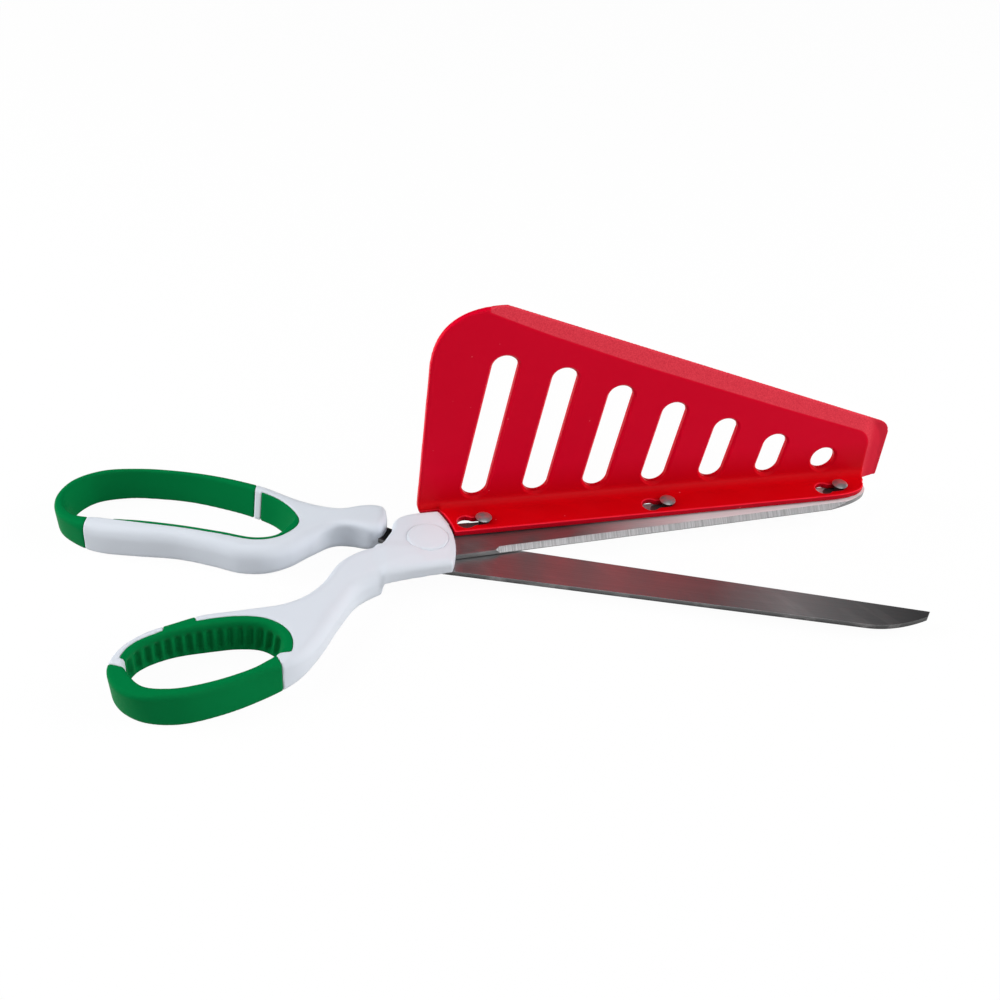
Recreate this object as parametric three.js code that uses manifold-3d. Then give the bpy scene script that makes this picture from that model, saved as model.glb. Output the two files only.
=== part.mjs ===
// Pizza scissors: two pivoting blades with soft-covered loop handles, and a serving spatula
// that clips onto three studs of the upper blade.
//
// Millimetres. The origin is the middle of the pivot post's flat lower face, Z runs up the pivot's
// axis and X runs to the tips along the line that halves the opening. Each half is drawn as it lies
// when the scissors are shut: the pivot at zero, the blade's back parallel to X, and zero height at
// the plane in which the blades slide on each other. Its group then turns it open.
import * as THREE from 'three';
import { mergeVertices } from 'three/addons/utils/BufferGeometryUtils.js';
import Module from 'manifold-3d';

const wasm = await Module();
wasm.setup();

// Fits
const REST_OPENING = 19.7; // degrees between the two backs as the scissors lie
const SEAT_GAP = 0.25; // between pieces that are fixed together
const RUNNING_GAP = 0.3; // between pieces that move on each other

// Blades
const BLADE_REACH = 168; // pivot to the lower blade's point
const UPPER_REACH = 165; // pivot to the upper blade's round end
const BLADE_THICKNESS = 1.8;
const BACK_OFFSET = 9.3; // pivot to a blade's back
const EDGE_OFFSET = 6.6; // pivot to the cutting edge's line, abreast of the pivot
const EDGE_TIP_OFFSET = 0.9; // the same at the point
const EDGE_LAND = 0.3; // metal left at the cutting edge
const BEVEL_WIDTH = 1.6; // width of the ground strip
const BEVEL_START = 23; // pivot to where the ground strip begins
const POINT_BLUNT = 2.6; // blunt end below the lower blade's point
const POINT_RAKE = 1; // how far the blunt end leans back
const POINT_CURVE = 22; // length of the curve that drops the lower blade's back to its point
const POINT_BELLY = 10; // stretch of that curve which stays near the back
const ROUND_END = 17; // length of the curve at the upper blade's end
const ROUND_END_TURN = 3.1; // pivot line to where that curve turns upright
const HEEL_REACH = 10; // pivot to the heel behind it
const TANG_WIDTH = 6.6;
const FINGER_TANG_LENGTH = 28; // pivot to the tang's hidden end
const FINGER_TANG_ANGLE = 160; // degrees from X
const THUMB_TANG_LENGTH = 34;
const THUMB_TANG_ANGLE = 208;

// Pivot
const PIVOT_DIAMETER = 6; // the post's barrel
const PIVOT_HEAD = 11; // diameter of the post's head
const PIVOT_HEAD_EDGE = 0.6; // chamfer of its rim
const SCREW_DIAMETER = 3.5;
const SCREW_HEAD = 9; // diameter
const SCREW_HEAD_THICKNESS = 1;
const WASHER_DIAMETER = 12;
const WASHER_THICKNESS = 0.6;
const SPRING_WASHER_THICKNESS = 0.4;
const CAP_DIAMETER = 14.4;
const CAP_THICKNESS = 1.7;
const CAP_RISE = 0.5; // stands proud of the hub
const CAP_LIP = 1; // rim outside the ring that plugs the hub
const CAP_SKIRT = 0.9; // wall of that ring

// Handles
const HANDLE_HEIGHT = 11;
const LOOP_ROUND = 2; // how far the rounded edges draw the loops in
const LOOP_ROUND_HEIGHT = 3;
const NECK_ROUND = 3.6; // the same on the necks
const NECK_ROUND_HEIGHT = 4.4;
const NECK_START = -58; // where the loops' edges begin to grow into the necks'
const NECK_FULL = -36;
const HUB_NOSE = 9.3; // pivot to the hub's curved front
const HUB_NOSE_RADIUS = 33;
const HUB_NOSE_SHIFT = 1.5; // pivot line to the foremost place of that front
const HUB_FAR = 14.2; // pivot to the hub's side behind the blade's back
const HUB_REAR = 10.4; // pivot to the hub's rear side, abreast of the pivot
const HUB_SLANT = 5; // how far that side slants back towards the neck
const HUB_NEAR = 13.3; // pivot to the hub's side in front of the cutting edge
const HUB_ROUND = 2.2;
const STEP_REACH = 17; // pivot to where the thumb handle drops below the blades
const NECK_FALL_LENGTH = 20; // stretch on which the thumb neck falls to the hub's height
const COVER_WALL = 1.4; // soft cover over the handles' core
const FINGER_LINER_DEPTH = 3.2; // round the end of the hole towards the pivot
const FINGER_LINER_SIDE = 1.3; // along the straight wall
const FINGER_LINER_LOW = -10.6; // stretch across the loop on which the depth grows
const FINGER_LINER_HIGH = 0;
const THUMB_LINER_DEPTH = 3.7;
const FLUTE_COUNT = 16;
const FLUTE_PITCH = 3.1;
const FLUTE_FIRST = 5.5; // the hole's far end to the first flute, along the wall
const FLUTE_RADIUS = 1.3;
const FLUTE_DEPTH = 0.8;
const FLUTE_MARGIN = 1.6; // smooth band above and below the flutes
const TAB_DEPTH = 1.6; // soft tab across the top of the thumb loop

// Spatula
const SPATULA_WALL = 2.4;
const FLANGE_FRONT = 2.3; // pivot line to the flange's front edge
const FLANGE_END_MARGIN = 1.2; // flange's end to the upper blade's
const PLATE_FRONT = 15.8; // pivot line to the serving face, abreast of the pivot
const PLATE_TOE_IN = 0.92; // degrees by which the plate nears the edge towards its tip
const PLATE_REAR = 1.3; // pivot to the top of the plate's steep rear edge
const PLATE_REAR_FOOT = -0.2; // pivot to the foot of that edge
const PLATE_TOP = 82; // blades' plane to the plate's highest edge
const PLATE_CORNER = 23.9; // length of the high rear corner's curve
const PLATE_CORNER_DROP = 23; // its height
const PLATE_OVERHANG = 7.2; // plate past the upper blade's end
const PLATE_TIP_HEIGHT = 25.4;
const TIP_CORNER = 4.5;
const REAR_FOOT_CORNER = 4;
const BEND_INSIDE = 3.5; // radius of the bend between the flange and the serving face
const BEND_OUTSIDE = 2;
const CHAMFER_WIDTH = 6.8; // thinned strip along the slope and the tip
const CHAMFER_DEPTH = 1.3;
const CHAMFER_START = 21; // rear edge to where the thinned strip begins
const SLOT_COUNT = 7;
const SLOT_WIDTH = 9;
const SLOT_LEAN = 8; // degrees towards the tip
const SLOT_FIRST = 18; // rear edge to the first slot's foot
const SLOT_LAST = 24; // plate's tip to the last slot's foot
const SLOT_FOOT = 8; // blades' plane to the slots' feet
const SLOT_HEADROOM = 18; // slots' tops to the sloping edge
const SLOT_CHAMFER = 0.8;

// Studs and the keyholes that lock on them
const STUD_FIRST = 20.8; // pivot to the first stud
const STUD_TIP_MARGIN = 11.5; // last stud to the upper blade's end
const STUD_OFFSET = 6.9; // pivot line to the studs
const STUD_SHANK = 3.4; // diameter
const STUD_HEAD = 5.6; // diameter
const STUD_HEAD_THICKNESS = 1.2;
const STUD_STAND = 1.1; // flange to the head's underside
const STUD_RIM = 0.4; // upright rim below the head's dome
const KEYHOLE_CLEARANCE = 0.3;
const SLIDE_TRAVEL = 6; // from locked to lifting off

// Facets
const LOOP_POINTS = 84;
const HOLE_POINTS = 56;
const ROUND_STEPS = 3;
const DISC_SIDES = 20;
const CURVE_STEPS = 7;
const SHARPEST_CORNER = 0.5; // keeps a sharp corner from running off when an outline grows

// Plan outlines of the handles, through which smooth closed curves run
const FINGER_OUTLINE = [
  [-15.8, 12.6], [-18.6, 15], [-25, 14.7], [-32, 11.8], [-45, 12.9], [-60, 16.6], [-74, 18.8],
  [-88, 19.2], [-102, 17.8], [-114.4, 14], [-122.3, 6.6], [-124.5, -3], [-121.3, -11],
  [-113.5, -15.6], [-105, -17.1], [-93, -16.5], [-80, -15.5], [-68, -16.8], [-58.5, -18.4],
  [-50, -17.2], [-43, -12.8], [-37.5, -6.4], [-31, -0.4], [-24, 1.3], [-17.4, 2.4], [-15.3, 6],
];
const FINGER_HOLE = [
  [-119.2, -1.8], [-115.4, 7.2], [-105.5, 12.4], [-95, 14.1], [-84, 14.5], [-73, 13.2],
  [-62, 10.8], [-52, 6.4], [-46.3, -0.5], [-48.6, -7.6], [-55, -10.6], [-67, -9.9], [-80, -9.3],
  [-93, -9.5], [-106, -10.4], [-115, -8.6],
];
const THUMB_OUTLINE = [
  [-2, -3], [-10, -0.2], [-16, 0.3], [-22.6, -0.9], [-30, -6.5], [-38, -16.4], [-45, -21.3],
  [-53, -23.2], [-64, -23.7], [-75, -24.2], [-84, -27], [-93.5, -31], [-100.6, -36.4],
  [-104.3, -44], [-102.5, -52], [-96.3, -58], [-85.2, -60.6], [-73.7, -59.2], [-61.7, -55.4],
  [-49.5, -49.3], [-41.9, -41.4], [-33.8, -29.4], [-26.3, -20], [-18.5, -15.6], [-10, -13], [-2, -11],
];
const THUMB_HOLE = [
  [-98.2, -45.3], [-95.6, -38.6], [-87, -34.2], [-77, -32.1], [-65.5, -31.8], [-58, -33.9], [-54, -38.5],
  [-54.4, -44.5], [-60.3, -49.2], [-67, -51.9], [-78, -54.4], [-87, -54.8], [-94.6, -52.4],
];

// Plan areas of the soft pieces, each a polygon that cuts the walls of its loop
const FINGER_COVER_AREA = [[-61.2, 30], [-135, 30], [-135, -30], [-110.8, -30], [-110.8, -3], [-61.2, 3]];
const FINGER_LINER_AREA = [[-58.6, 30], [-58.6, 3], [-106, -3], [-106, -30], [-30, -30], [-30, 30]];
const THUMB_COVER_AREA = [[-112, -36.5], [-112, -70], [-50, -70], [-57, -43], [-92, -47.2]];
const THUMB_LINER_AREA = [
  [-112, -34.2], [-92, -44.9], [-60, -42], [-54.7, -45.8], [-40, -45.8], [-40, -15], [-112, -15],
];
const THUMB_TAB_AREA = [[-87.2, -36], [-77.5, -36], [-77.5, -15], [-87.2, -15]];

// Heights, from the blades' sliding plane
const BLADE_LOW = RUNNING_GAP / 2;
const BLADE_HIGH = BLADE_LOW + BLADE_THICKNESS;
const SCREW_LOW = BLADE_HIGH + SPRING_WASHER_THICKNESS + 2 * SEAT_GAP;
const CAP_LOW = SCREW_LOW + SCREW_HEAD_THICKNESS + SEAT_GAP;
const HUB_HIGH = CAP_LOW + CAP_THICKNESS - CAP_RISE;
const HANDLE_HALF = HANDLE_HEIGHT / 2;
const WASHER_LOW = -BLADE_HIGH - SEAT_GAP - WASHER_THICKNESS;
const FLANGE_LOW = BLADE_HIGH + SEAT_GAP;
const FLANGE_HIGH = FLANGE_LOW + SPATULA_WALL;
const PLATE_TIP = UPPER_REACH + PLATE_OVERHANG;
const CUT = 5; // how far a cutter runs past what it cuts

const radians = THREE.MathUtils.degToRad;
const plan = (pairs) => pairs.map(([x, y]) => new THREE.Vector2(x, y));

// Turns a geometry into a closed solid with shared corners and no empty triangles
function solidOf(geometry) {
  const bare = new THREE.BufferGeometry();
  bare.setAttribute('position', geometry.getAttribute('position'));
  bare.setIndex(geometry.index);
  const merged = mergeVertices(bare, 1e-4);
  const corners = merged.index.array;
  const kept = [];
  for (let i = 0; i < corners.length; i += 3) {
    const [a, b, c] = corners.slice(i, i + 3);
    if (a !== b && b !== c && c !== a) kept.push(a, b, c);
  }
  const vertProperties = new Float32Array(merged.getAttribute('position').array);
  return new wasm.Manifold(new wasm.Mesh({ numProp: 3, vertProperties, triVerts: new Uint32Array(kept) }));
}

function geometryOf(solid) {
  const mesh = solid.getMesh();
  const geometry = new THREE.BufferGeometry();
  geometry.setAttribute('position', new THREE.BufferAttribute(mesh.vertProperties, 3));
  geometry.setIndex(new THREE.BufferAttribute(mesh.triVerts, 1));
  geometry.computeVertexNormals();
  return geometry;
}

// Points of a smooth closed curve through the given pairs
function smoothLoop(pairs, count) {
  const knots = pairs.map(([x, y]) => new THREE.Vector3(x, y, 0));
  const curve = new THREE.CatmullRomCurve3(knots, true, 'centripetal');
  return curve.getSpacedPoints(count).slice(0, count).map((p) => new THREE.Vector2(p.x, p.y));
}

// Moves every side of a closed anticlockwise outline outwards, by a distance set for each point
function growBy(points, distanceAt) {
  return points.map((point, i) => {
    const into = point.clone().sub(points.at(i - 1)).normalize();
    const onward = points[(i + 1) % points.length].clone().sub(point).normalize();
    const side = new THREE.Vector2(into.y, -into.x);
    const normal = new THREE.Vector2(into.y + onward.y, -into.x - onward.x).normalize();
    const share = Math.max(normal.dot(side), SHARPEST_CORNER);
    return point.clone().addScaledVector(normal, distanceAt(point) / share);
  });
}

const grow = (points, distance) => growBy(points, () => distance);

const anticlockwise = (points) => (THREE.ShapeUtils.isClockWise(points) ? points.toReversed() : points);

const extruded = (section, depth) => new THREE.ExtrudeGeometry(section, { depth, bevelEnabled: false });

// Upright prism over a plan outline
function prism(points, low, high) {
  const geometry = extruded(new THREE.Shape(points), high - low);
  return solidOf(geometry.translate(0, 0, low));
}

// Bar along X whose section is drawn in Y and Z
function alongX(section, length) {
  return extruded(section, length).rotateX(Math.PI / 2).rotateZ(Math.PI / 2);
}

function disc(x, y, diameter, low, high) {
  const geometry = new THREE.CylinderGeometry(diameter / 2, diameter / 2, high - low, DISC_SIDES);
  return solidOf(geometry.rotateX(Math.PI / 2).translate(x, y, (low + high) / 2));
}

// Round piece on an upright axis, from [radius, height] pairs that start and end on the axis
function turned(x, y, pairs) {
  const geometry = new THREE.LatheGeometry(plan(pairs), DISC_SIDES);
  return solidOf(geometry.rotateX(Math.PI / 2).translate(x, y, 0));
}

// Flat ring on the pivot's axis
function ring(outer, inner, low, high) {
  const hole = disc(0, 0, inner, low - CUT, high + CUT);
  return disc(0, 0, outer, low, high).subtract(hole);
}

// Levels of one edge of a slab, from its flat face to its side
function edgeLevels(round, steps, from, up) {
  if (!round) return [{ angle: 0, round: () => [0, 0], from, up }];
  const share = Math.PI / 2 / steps;
  return Array.from({ length: steps + 1 }, (_, i) => ({ angle: i * share, round, from, up }));
}

// Slab over an outline with an optional hole. Its edges are rounded as quarters of an ellipse, whose
// width and height the two functions give for a point of the outline, or left sharp without one.
function roundedSlab(outline, hole, low, high, topRound, bottomRound, steps) {
  const bottom = edgeLevels(bottomRound, steps, low, 1);
  const levels = bottom.concat(edgeLevels(topRound, steps, high, -1).toReversed());
  const count = outline.length + hole.length;
  const positions = [];
  const indices = [];
  const edges = levels.map(({ angle, round, from, up }) => {
    const inset = (point) => round(point)[0] * (1 - Math.sin(angle));
    const height = (point) => from + up * round(point)[1] * (1 - Math.cos(angle));
    const rings = [growBy(outline, (p) => -inset(p)), growBy(hole, inset)];
    [outline, hole].forEach((points, k) => points.forEach((point, i) => {
      positions.push(rings[k][i].x, rings[k][i].y, height(point));
    }));
    return rings;
  });
  for (let level = 0; level < levels.length - 1; level += 1) {
    const base = level * count;
    for (let i = 0; i < count; i += 1) {
      const outside = i < outline.length;
      const first = outside ? 0 : outline.length;
      const length = outside ? outline.length : hole.length;
      const next = first + ((i - first + 1) % length);
      const [a, b] = outside ? [base + i, base + next] : [base + next, base + i];
      indices.push(a, b, b + count, a, b + count, a + count);
    }
  }
  [0, levels.length - 1].forEach((level) => {
    const [edge, gap] = edges[level];
    THREE.ShapeUtils.triangulateShape(edge, gap.length ? [gap] : []).forEach((face) => {
      const corners = level === 0 ? face.toReversed() : face;
      corners.forEach((corner) => indices.push(level * count + corner));
    });
  });
  const geometry = new THREE.BufferGeometry();
  geometry.setAttribute('position', new THREE.Float32BufferAttribute(positions, 3));
  geometry.setIndex(indices);
  return solidOf(geometry);
}

// Points of a drawn path, with straight runs as single steps
function drawn(path) {
  const points = path.getPoints(CURVE_STEPS);
  return anticlockwise(points.filter((p, i) => i === 0 || !p.equals(points[i - 1])));
}

// Straight bar from the pivot that anchors a blade in its handle
function tangOutline(angle, length, clearance) {
  const half = TANG_WIDTH / 2 + clearance;
  const end = length + clearance;
  const corners = plan([[0, -half], [end, -half], [end, half], [0, half]]);
  return corners.map((p) => p.rotateAround(new THREE.Vector2(), radians(angle)));
}

// Cutting-edge side of a blade, from the heel to a distance along the blade
function edgeAt(x) {
  return EDGE_OFFSET + ((EDGE_TIP_OFFSET - EDGE_OFFSET) * x) / BLADE_REACH;
}

// Lower blade: the edge lies on the far side of the pivot line and the back on the near side
function lowerBladeOutline() {
  const path = new THREE.Path();
  path.moveTo(BLADE_REACH, EDGE_TIP_OFFSET);
  path.lineTo(-HEEL_REACH, edgeAt(-HEEL_REACH));
  path.quadraticCurveTo(-HEEL_REACH, -BACK_OFFSET, 0, -BACK_OFFSET);
  path.lineTo(BLADE_REACH - POINT_CURVE, -BACK_OFFSET);
  const bluntLow = EDGE_TIP_OFFSET - POINT_BLUNT;
  const curveStart = BLADE_REACH - POINT_CURVE;
  path.quadraticCurveTo(curveStart + POINT_BELLY, -BACK_OFFSET, BLADE_REACH - POINT_RAKE, bluntLow);
  return drawn(path);
}

// Upper blade: mirrored, and its end is rounded from the cutting edge to the back
function upperBladeOutline() {
  const start = UPPER_REACH - ROUND_END;
  const path = new THREE.Path();
  path.moveTo(-HEEL_REACH, -edgeAt(-HEEL_REACH));
  path.lineTo(start, -edgeAt(start));
  path.quadraticCurveTo(UPPER_REACH, ROUND_END_TURN, UPPER_REACH, BACK_OFFSET);
  path.lineTo(0, BACK_OFFSET);
  path.quadraticCurveTo(-HEEL_REACH, BACK_OFFSET, -HEEL_REACH, -edgeAt(-HEEL_REACH));
  return drawn(path);
}

// Wedge that grinds the bevel along a blade's edge; side is 1 for the upper blade's top face
function bevelCutter(side) {
  const slant = Math.atan2(EDGE_OFFSET - EDGE_TIP_OFFSET, BLADE_REACH);
  const steepness = (BLADE_THICKNESS - EDGE_LAND) / BEVEL_WIDTH;
  const high = steepness * (BEVEL_WIDTH + CUT);
  const low = -steepness * CUT;
  const section = new THREE.Shape(plan([[-CUT, low], [BEVEL_WIDTH + CUT, high], [-CUT, high]]));
  const geometry = alongX(section, BLADE_REACH).rotateZ(slant);
  geometry.translate(BEVEL_START, -edgeAt(BEVEL_START), BLADE_LOW + EDGE_LAND);
  if (side < 0) geometry.rotateX(Math.PI);
  return solidOf(geometry);
}

const studPlaces = () => {
  const last = UPPER_REACH - STUD_TIP_MARGIN;
  return [STUD_FIRST, (STUD_FIRST + last) / 2, last];
};

function upperBlade() {
  const pivotHole = disc(0, 0, PIVOT_DIAMETER + 2 * RUNNING_GAP, -CUT, CUT);
  let blade = prism(upperBladeOutline(), BLADE_LOW, BLADE_HIGH);
  blade = blade.add(prism(tangOutline(THUMB_TANG_ANGLE, THUMB_TANG_LENGTH, 0), BLADE_LOW, BLADE_HIGH));
  blade = blade.subtract(bevelCutter(1)).subtract(pivotHole);
  studPlaces().forEach((x) => {
    blade = blade.subtract(disc(x, STUD_OFFSET, STUD_SHANK, -CUT, CUT));
  });
  return blade;
}

function lowerBlade() {
  const pivotHole = disc(0, 0, PIVOT_DIAMETER + 2 * SEAT_GAP, -CUT, CUT);
  let blade = prism(lowerBladeOutline(), -BLADE_HIGH, -BLADE_LOW);
  blade = blade.add(prism(tangOutline(FINGER_TANG_ANGLE, FINGER_TANG_LENGTH, 0), -BLADE_HIGH, -BLADE_LOW));
  return blade.subtract(bevelCutter(-1)).subtract(pivotHole);
}

// Width and height of a handle's rounded edge, which grows from the loop to the neck
function handleRound({ x }) {
  const neck = THREE.MathUtils.smoothstep(x, NECK_START, NECK_FULL);
  const width = THREE.MathUtils.lerp(LOOP_ROUND, NECK_ROUND, neck);
  return [width, THREE.MathUtils.lerp(LOOP_ROUND_HEIGHT, NECK_ROUND_HEIGHT, neck)];
}

// A loop handle's whole body, its hole's outline, and the slab left under a skin of some thickness
function loopBody(outlinePairs, holePairs) {
  const outline = anticlockwise(smoothLoop(outlinePairs, LOOP_POINTS));
  const hole = anticlockwise(smoothLoop(holePairs, HOLE_POINTS));
  const body = roundedSlab(outline, hole, -HANDLE_HALF, HANDLE_HALF, handleRound, handleRound, ROUND_STEPS);
  const shrunk = (wall) => {
    const high = HANDLE_HALF - wall;
    const inner = () => [SEAT_GAP, SEAT_GAP];
    return roundedSlab(grow(outline, -wall), grow(hole, wall), -high, high, inner, inner, 1);
  };
  return { body, hole, shrunk };
}

function areaPrism(pairs, clearance) {
  const high = HANDLE_HALF + CUT;
  return prism(grow(anticlockwise(plan(pairs)), clearance), -high, high);
}

function outerCover(loop, area) {
  return loop.body.intersect(areaPrism(area, 0)).subtract(loop.shrunk(COVER_WALL - SEAT_GAP));
}

function linerSpace(loop, area, depthAt, clearance) {
  const high = HANDLE_HALF + CUT;
  const back = growBy(loop.hole, (point) => depthAt(point) + clearance);
  return prism(back, -high, high).intersect(areaPrism(area, clearance));
}

function coreOf(loop, coverArea, linerArea, linerDepthAt) {
  const bare = loop.body.subtract(areaPrism(coverArea, SEAT_GAP)).add(loop.shrunk(COVER_WALL));
  return bare.subtract(linerSpace(loop, linerArea, linerDepthAt, SEAT_GAP));
}

const thumbLinerDepth = () => THUMB_LINER_DEPTH;
const fingerLinerDepth = ({ y }) => {
  const share = THREE.MathUtils.smoothstep(y, FINGER_LINER_LOW, FINGER_LINER_HIGH);
  return THREE.MathUtils.lerp(FINGER_LINER_SIDE, FINGER_LINER_DEPTH, share);
};

const fingerLoop = loopBody(FINGER_OUTLINE, FINGER_HOLE);
const thumbLoop = loopBody(THUMB_OUTLINE, THUMB_HOLE);

function fingerCore() {
  const core = coreOf(fingerLoop, FINGER_COVER_AREA, FINGER_LINER_AREA, fingerLinerDepth);
  const tang = tangOutline(FINGER_TANG_ANGLE, FINGER_TANG_LENGTH, SEAT_GAP);
  return core.subtract(prism(tang, -BLADE_HIGH - SEAT_GAP, -BLADE_LOW + SEAT_GAP));
}

function fingerLiner() {
  return fingerLoop.body.intersect(linerSpace(fingerLoop, FINGER_LINER_AREA, fingerLinerDepth, 0));
}

// The hub over the pivot: a curved nose, and a rounded rear corner that clears the other handle
function hubOutline() {
  const noseCentre = HUB_NOSE - HUB_NOSE_RADIUS;
  const noseAngle = (offset) => Math.asin((offset - HUB_NOSE_SHIFT) / HUB_NOSE_RADIUS);
  const path = new THREE.Path();
  path.absarc(noseCentre, HUB_NOSE_SHIFT, HUB_NOSE_RADIUS, noseAngle(-HUB_NEAR), noseAngle(HUB_FAR), false);
  path.lineTo(0, HUB_FAR);
  path.quadraticCurveTo(-HUB_REAR, HUB_FAR, -HUB_REAR, HUB_FAR / 2);
  path.lineTo(-HUB_REAR - HUB_SLANT, 0);
  path.lineTo(-STEP_REACH, 0);
  path.lineTo(-STEP_REACH, -HUB_NEAR - HUB_ROUND);
  return drawn(path);
}

function hub() {
  const round = () => [HUB_ROUND, HUB_ROUND];
  return roundedSlab(hubOutline(), [], BLADE_LOW, HUB_HIGH, round, null, ROUND_STEPS);
}

// Round recess for the screw's head, with a seat for the cap's rim
function capRecess() {
  const well = disc(0, 0, CAP_DIAMETER - 2 * CAP_LIP, -HANDLE_HEIGHT, HUB_HIGH + CUT);
  return well.add(disc(0, 0, CAP_DIAMETER + 2 * SEAT_GAP, CAP_LOW - SEAT_GAP, HUB_HIGH + CUT));
}

// Sloping cutter that lets the thumb neck fall to the hub's height
function neckFallCutter() {
  const start = -STEP_REACH - NECK_FALL_LENGTH;
  const section = new THREE.Shape(plan([
    [start, HANDLE_HALF], [-STEP_REACH, HUB_HIGH], [CUT, HUB_HIGH], [CUT, HANDLE_HALF + CUT],
    [start, HANDLE_HALF + CUT],
  ]));
  const depth = 4 * HUB_FAR;
  const geometry = extruded(section, depth);
  return solidOf(geometry.rotateX(Math.PI / 2).translate(0, depth / 2, 0));
}

function thumbTab(clearance) {
  const area = grow(anticlockwise(plan(THUMB_TAB_AREA)), clearance);
  return prism(area, HANDLE_HALF - TAB_DEPTH - clearance, HANDLE_HALF + CUT);
}

function thumbCore() {
  const side = 2 * HUB_FAR;
  const underHub = plan([[-STEP_REACH, -side], [CUT, -side], [CUT, side], [-STEP_REACH, side]]);
  let core = coreOf(thumbLoop, THUMB_COVER_AREA, THUMB_LINER_AREA, thumbLinerDepth);
  core = core.subtract(prism(underHub, -HANDLE_HEIGHT, BLADE_LOW));
  core = core.subtract(neckFallCutter()).subtract(thumbTab(SEAT_GAP));
  core = core.add(hub()).subtract(capRecess());
  const pocketHigh = BLADE_HIGH + SEAT_GAP;
  const bladePocket = prism(grow(upperBladeOutline(), SEAT_GAP), BLADE_LOW - CUT, pocketHigh);
  const tang = tangOutline(THUMB_TANG_ANGLE, THUMB_TANG_LENGTH, SEAT_GAP);
  const tangPocket = prism(tang, BLADE_LOW - SEAT_GAP, pocketHigh);
  return core.subtract(bladePocket).subtract(tangPocket);
}

// Upright round-ended groove cutter, set back from the wall towards the middle of the hole
function fluteCutter(place, inward) {
  const reach = HANDLE_HEIGHT - 2 * FLUTE_MARGIN;
  const geometry = new THREE.CapsuleGeometry(FLUTE_RADIUS, reach - 2 * FLUTE_RADIUS, 2, 8);
  const centre = place.clone().addScaledVector(inward, FLUTE_RADIUS - FLUTE_DEPTH);
  return solidOf(geometry.rotateX(Math.PI / 2).translate(centre.x, centre.y, 0));
}

// Flutes stand side by side along the lined wall, from the hole's far end towards the pivot
function thumbFlutes() {
  const knots = THUMB_HOLE.map(([x, y]) => new THREE.Vector3(x, y, 0));
  const curve = new THREE.CatmullRomCurve3(knots, true, 'centripetal');
  const cutters = [];
  for (let i = 0; i < FLUTE_COUNT; i += 1) {
    const share = (FLUTE_FIRST + i * FLUTE_PITCH) / curve.getLength();
    const tangent = curve.getTangentAt(share);
    cutters.push(fluteCutter(curve.getPointAt(share), new THREE.Vector3(tangent.y, -tangent.x, 0)));
  }
  return cutters;
}

function thumbLiner() {
  let liner = thumbLoop.body.intersect(linerSpace(thumbLoop, THUMB_LINER_AREA, thumbLinerDepth, 0));
  liner = liner.add(thumbLoop.body.intersect(thumbTab(0)));
  thumbFlutes().forEach((cutter) => {
    liner = liner.subtract(cutter);
  });
  return liner;
}

function pivotPost() {
  const low = -HANDLE_HALF;
  const headHigh = WASHER_LOW - SEAT_GAP;
  const high = SCREW_LOW - SEAT_GAP;
  const rim = PIVOT_HEAD / 2;
  const barrel = PIVOT_DIAMETER / 2;
  const post = turned(0, 0, [
    [0, low], [rim - PIVOT_HEAD_EDGE, low], [rim, low + PIVOT_HEAD_EDGE], [rim, headHigh],
    [barrel, headHigh], [barrel, high], [0, high],
  ]);
  return post.subtract(disc(0, 0, SCREW_DIAMETER + 2 * SEAT_GAP, headHigh, high + CUT));
}

function pivotScrew() {
  const low = WASHER_LOW;
  const high = SCREW_LOW + SCREW_HEAD_THICKNESS;
  const stem = SCREW_DIAMETER / 2;
  const rim = SCREW_HEAD / 2;
  return turned(0, 0, [[0, low], [stem, low], [stem, SCREW_LOW], [rim, SCREW_LOW], [rim, high], [0, high]]);
}

const pivotWasher = () => ring(
  WASHER_DIAMETER, PIVOT_DIAMETER + 2 * SEAT_GAP, WASHER_LOW, WASHER_LOW + WASHER_THICKNESS);

const springWasher = () => ring(
  SCREW_HEAD, PIVOT_DIAMETER + 2 * RUNNING_GAP, BLADE_HIGH + SEAT_GAP, SCREW_LOW - SEAT_GAP);

function pivotCap() {
  const plug = CAP_DIAMETER / 2 - CAP_LIP - SEAT_GAP;
  const bore = plug - CAP_SKIRT;
  const rim = CAP_DIAMETER / 2;
  const high = CAP_LOW + CAP_THICKNESS;
  const skirtLow = BLADE_HIGH + 2 * SEAT_GAP;
  const cap = turned(0, 0, [
    [0, skirtLow], [plug, skirtLow], [plug, CAP_LOW], [rim, CAP_LOW],
    [rim, high - CAP_RISE], [rim - CAP_RISE, high], [0, high],
  ]);
  return cap.subtract(disc(0, 0, 2 * bore, skirtLow - CUT, CAP_LOW));
}

// Stud with a tenon in the blade, a shank through the flange and a domed head
function stud(x) {
  const shank = STUD_SHANK / 2;
  const tenon = shank - SEAT_GAP;
  const rim = STUD_HEAD / 2;
  const low = BLADE_LOW + SEAT_GAP / 2;
  const seat = BLADE_HIGH + SEAT_GAP / 2;
  const headLow = FLANGE_HIGH + STUD_STAND;
  const domeLow = headLow + STUD_RIM;
  const domeRise = STUD_HEAD_THICKNESS - STUD_RIM;
  const profile = [[0, low], [tenon, low], [tenon, seat], [shank, seat], [shank, headLow], [rim, headLow]];
  for (let i = 0; i < ROUND_STEPS; i += 1) {
    const angle = (i / ROUND_STEPS) * (Math.PI / 2);
    profile.push([rim * Math.cos(angle), domeLow + domeRise * Math.sin(angle)]);
  }
  return turned(x, STUD_OFFSET, [...profile, [0, domeLow + domeRise]]);
}

const toeIn = Math.tan(radians(PLATE_TOE_IN));
const plateFrontAt = (x) => PLATE_FRONT - toeIn * x;

// Slants what is drawn square to the blade, so that the plate toes in
function toedIn(geometry) {
  return geometry.applyMatrix4(new THREE.Matrix4().makeShear(-toeIn, 0, 0, 0, 0, 0));
}

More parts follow.
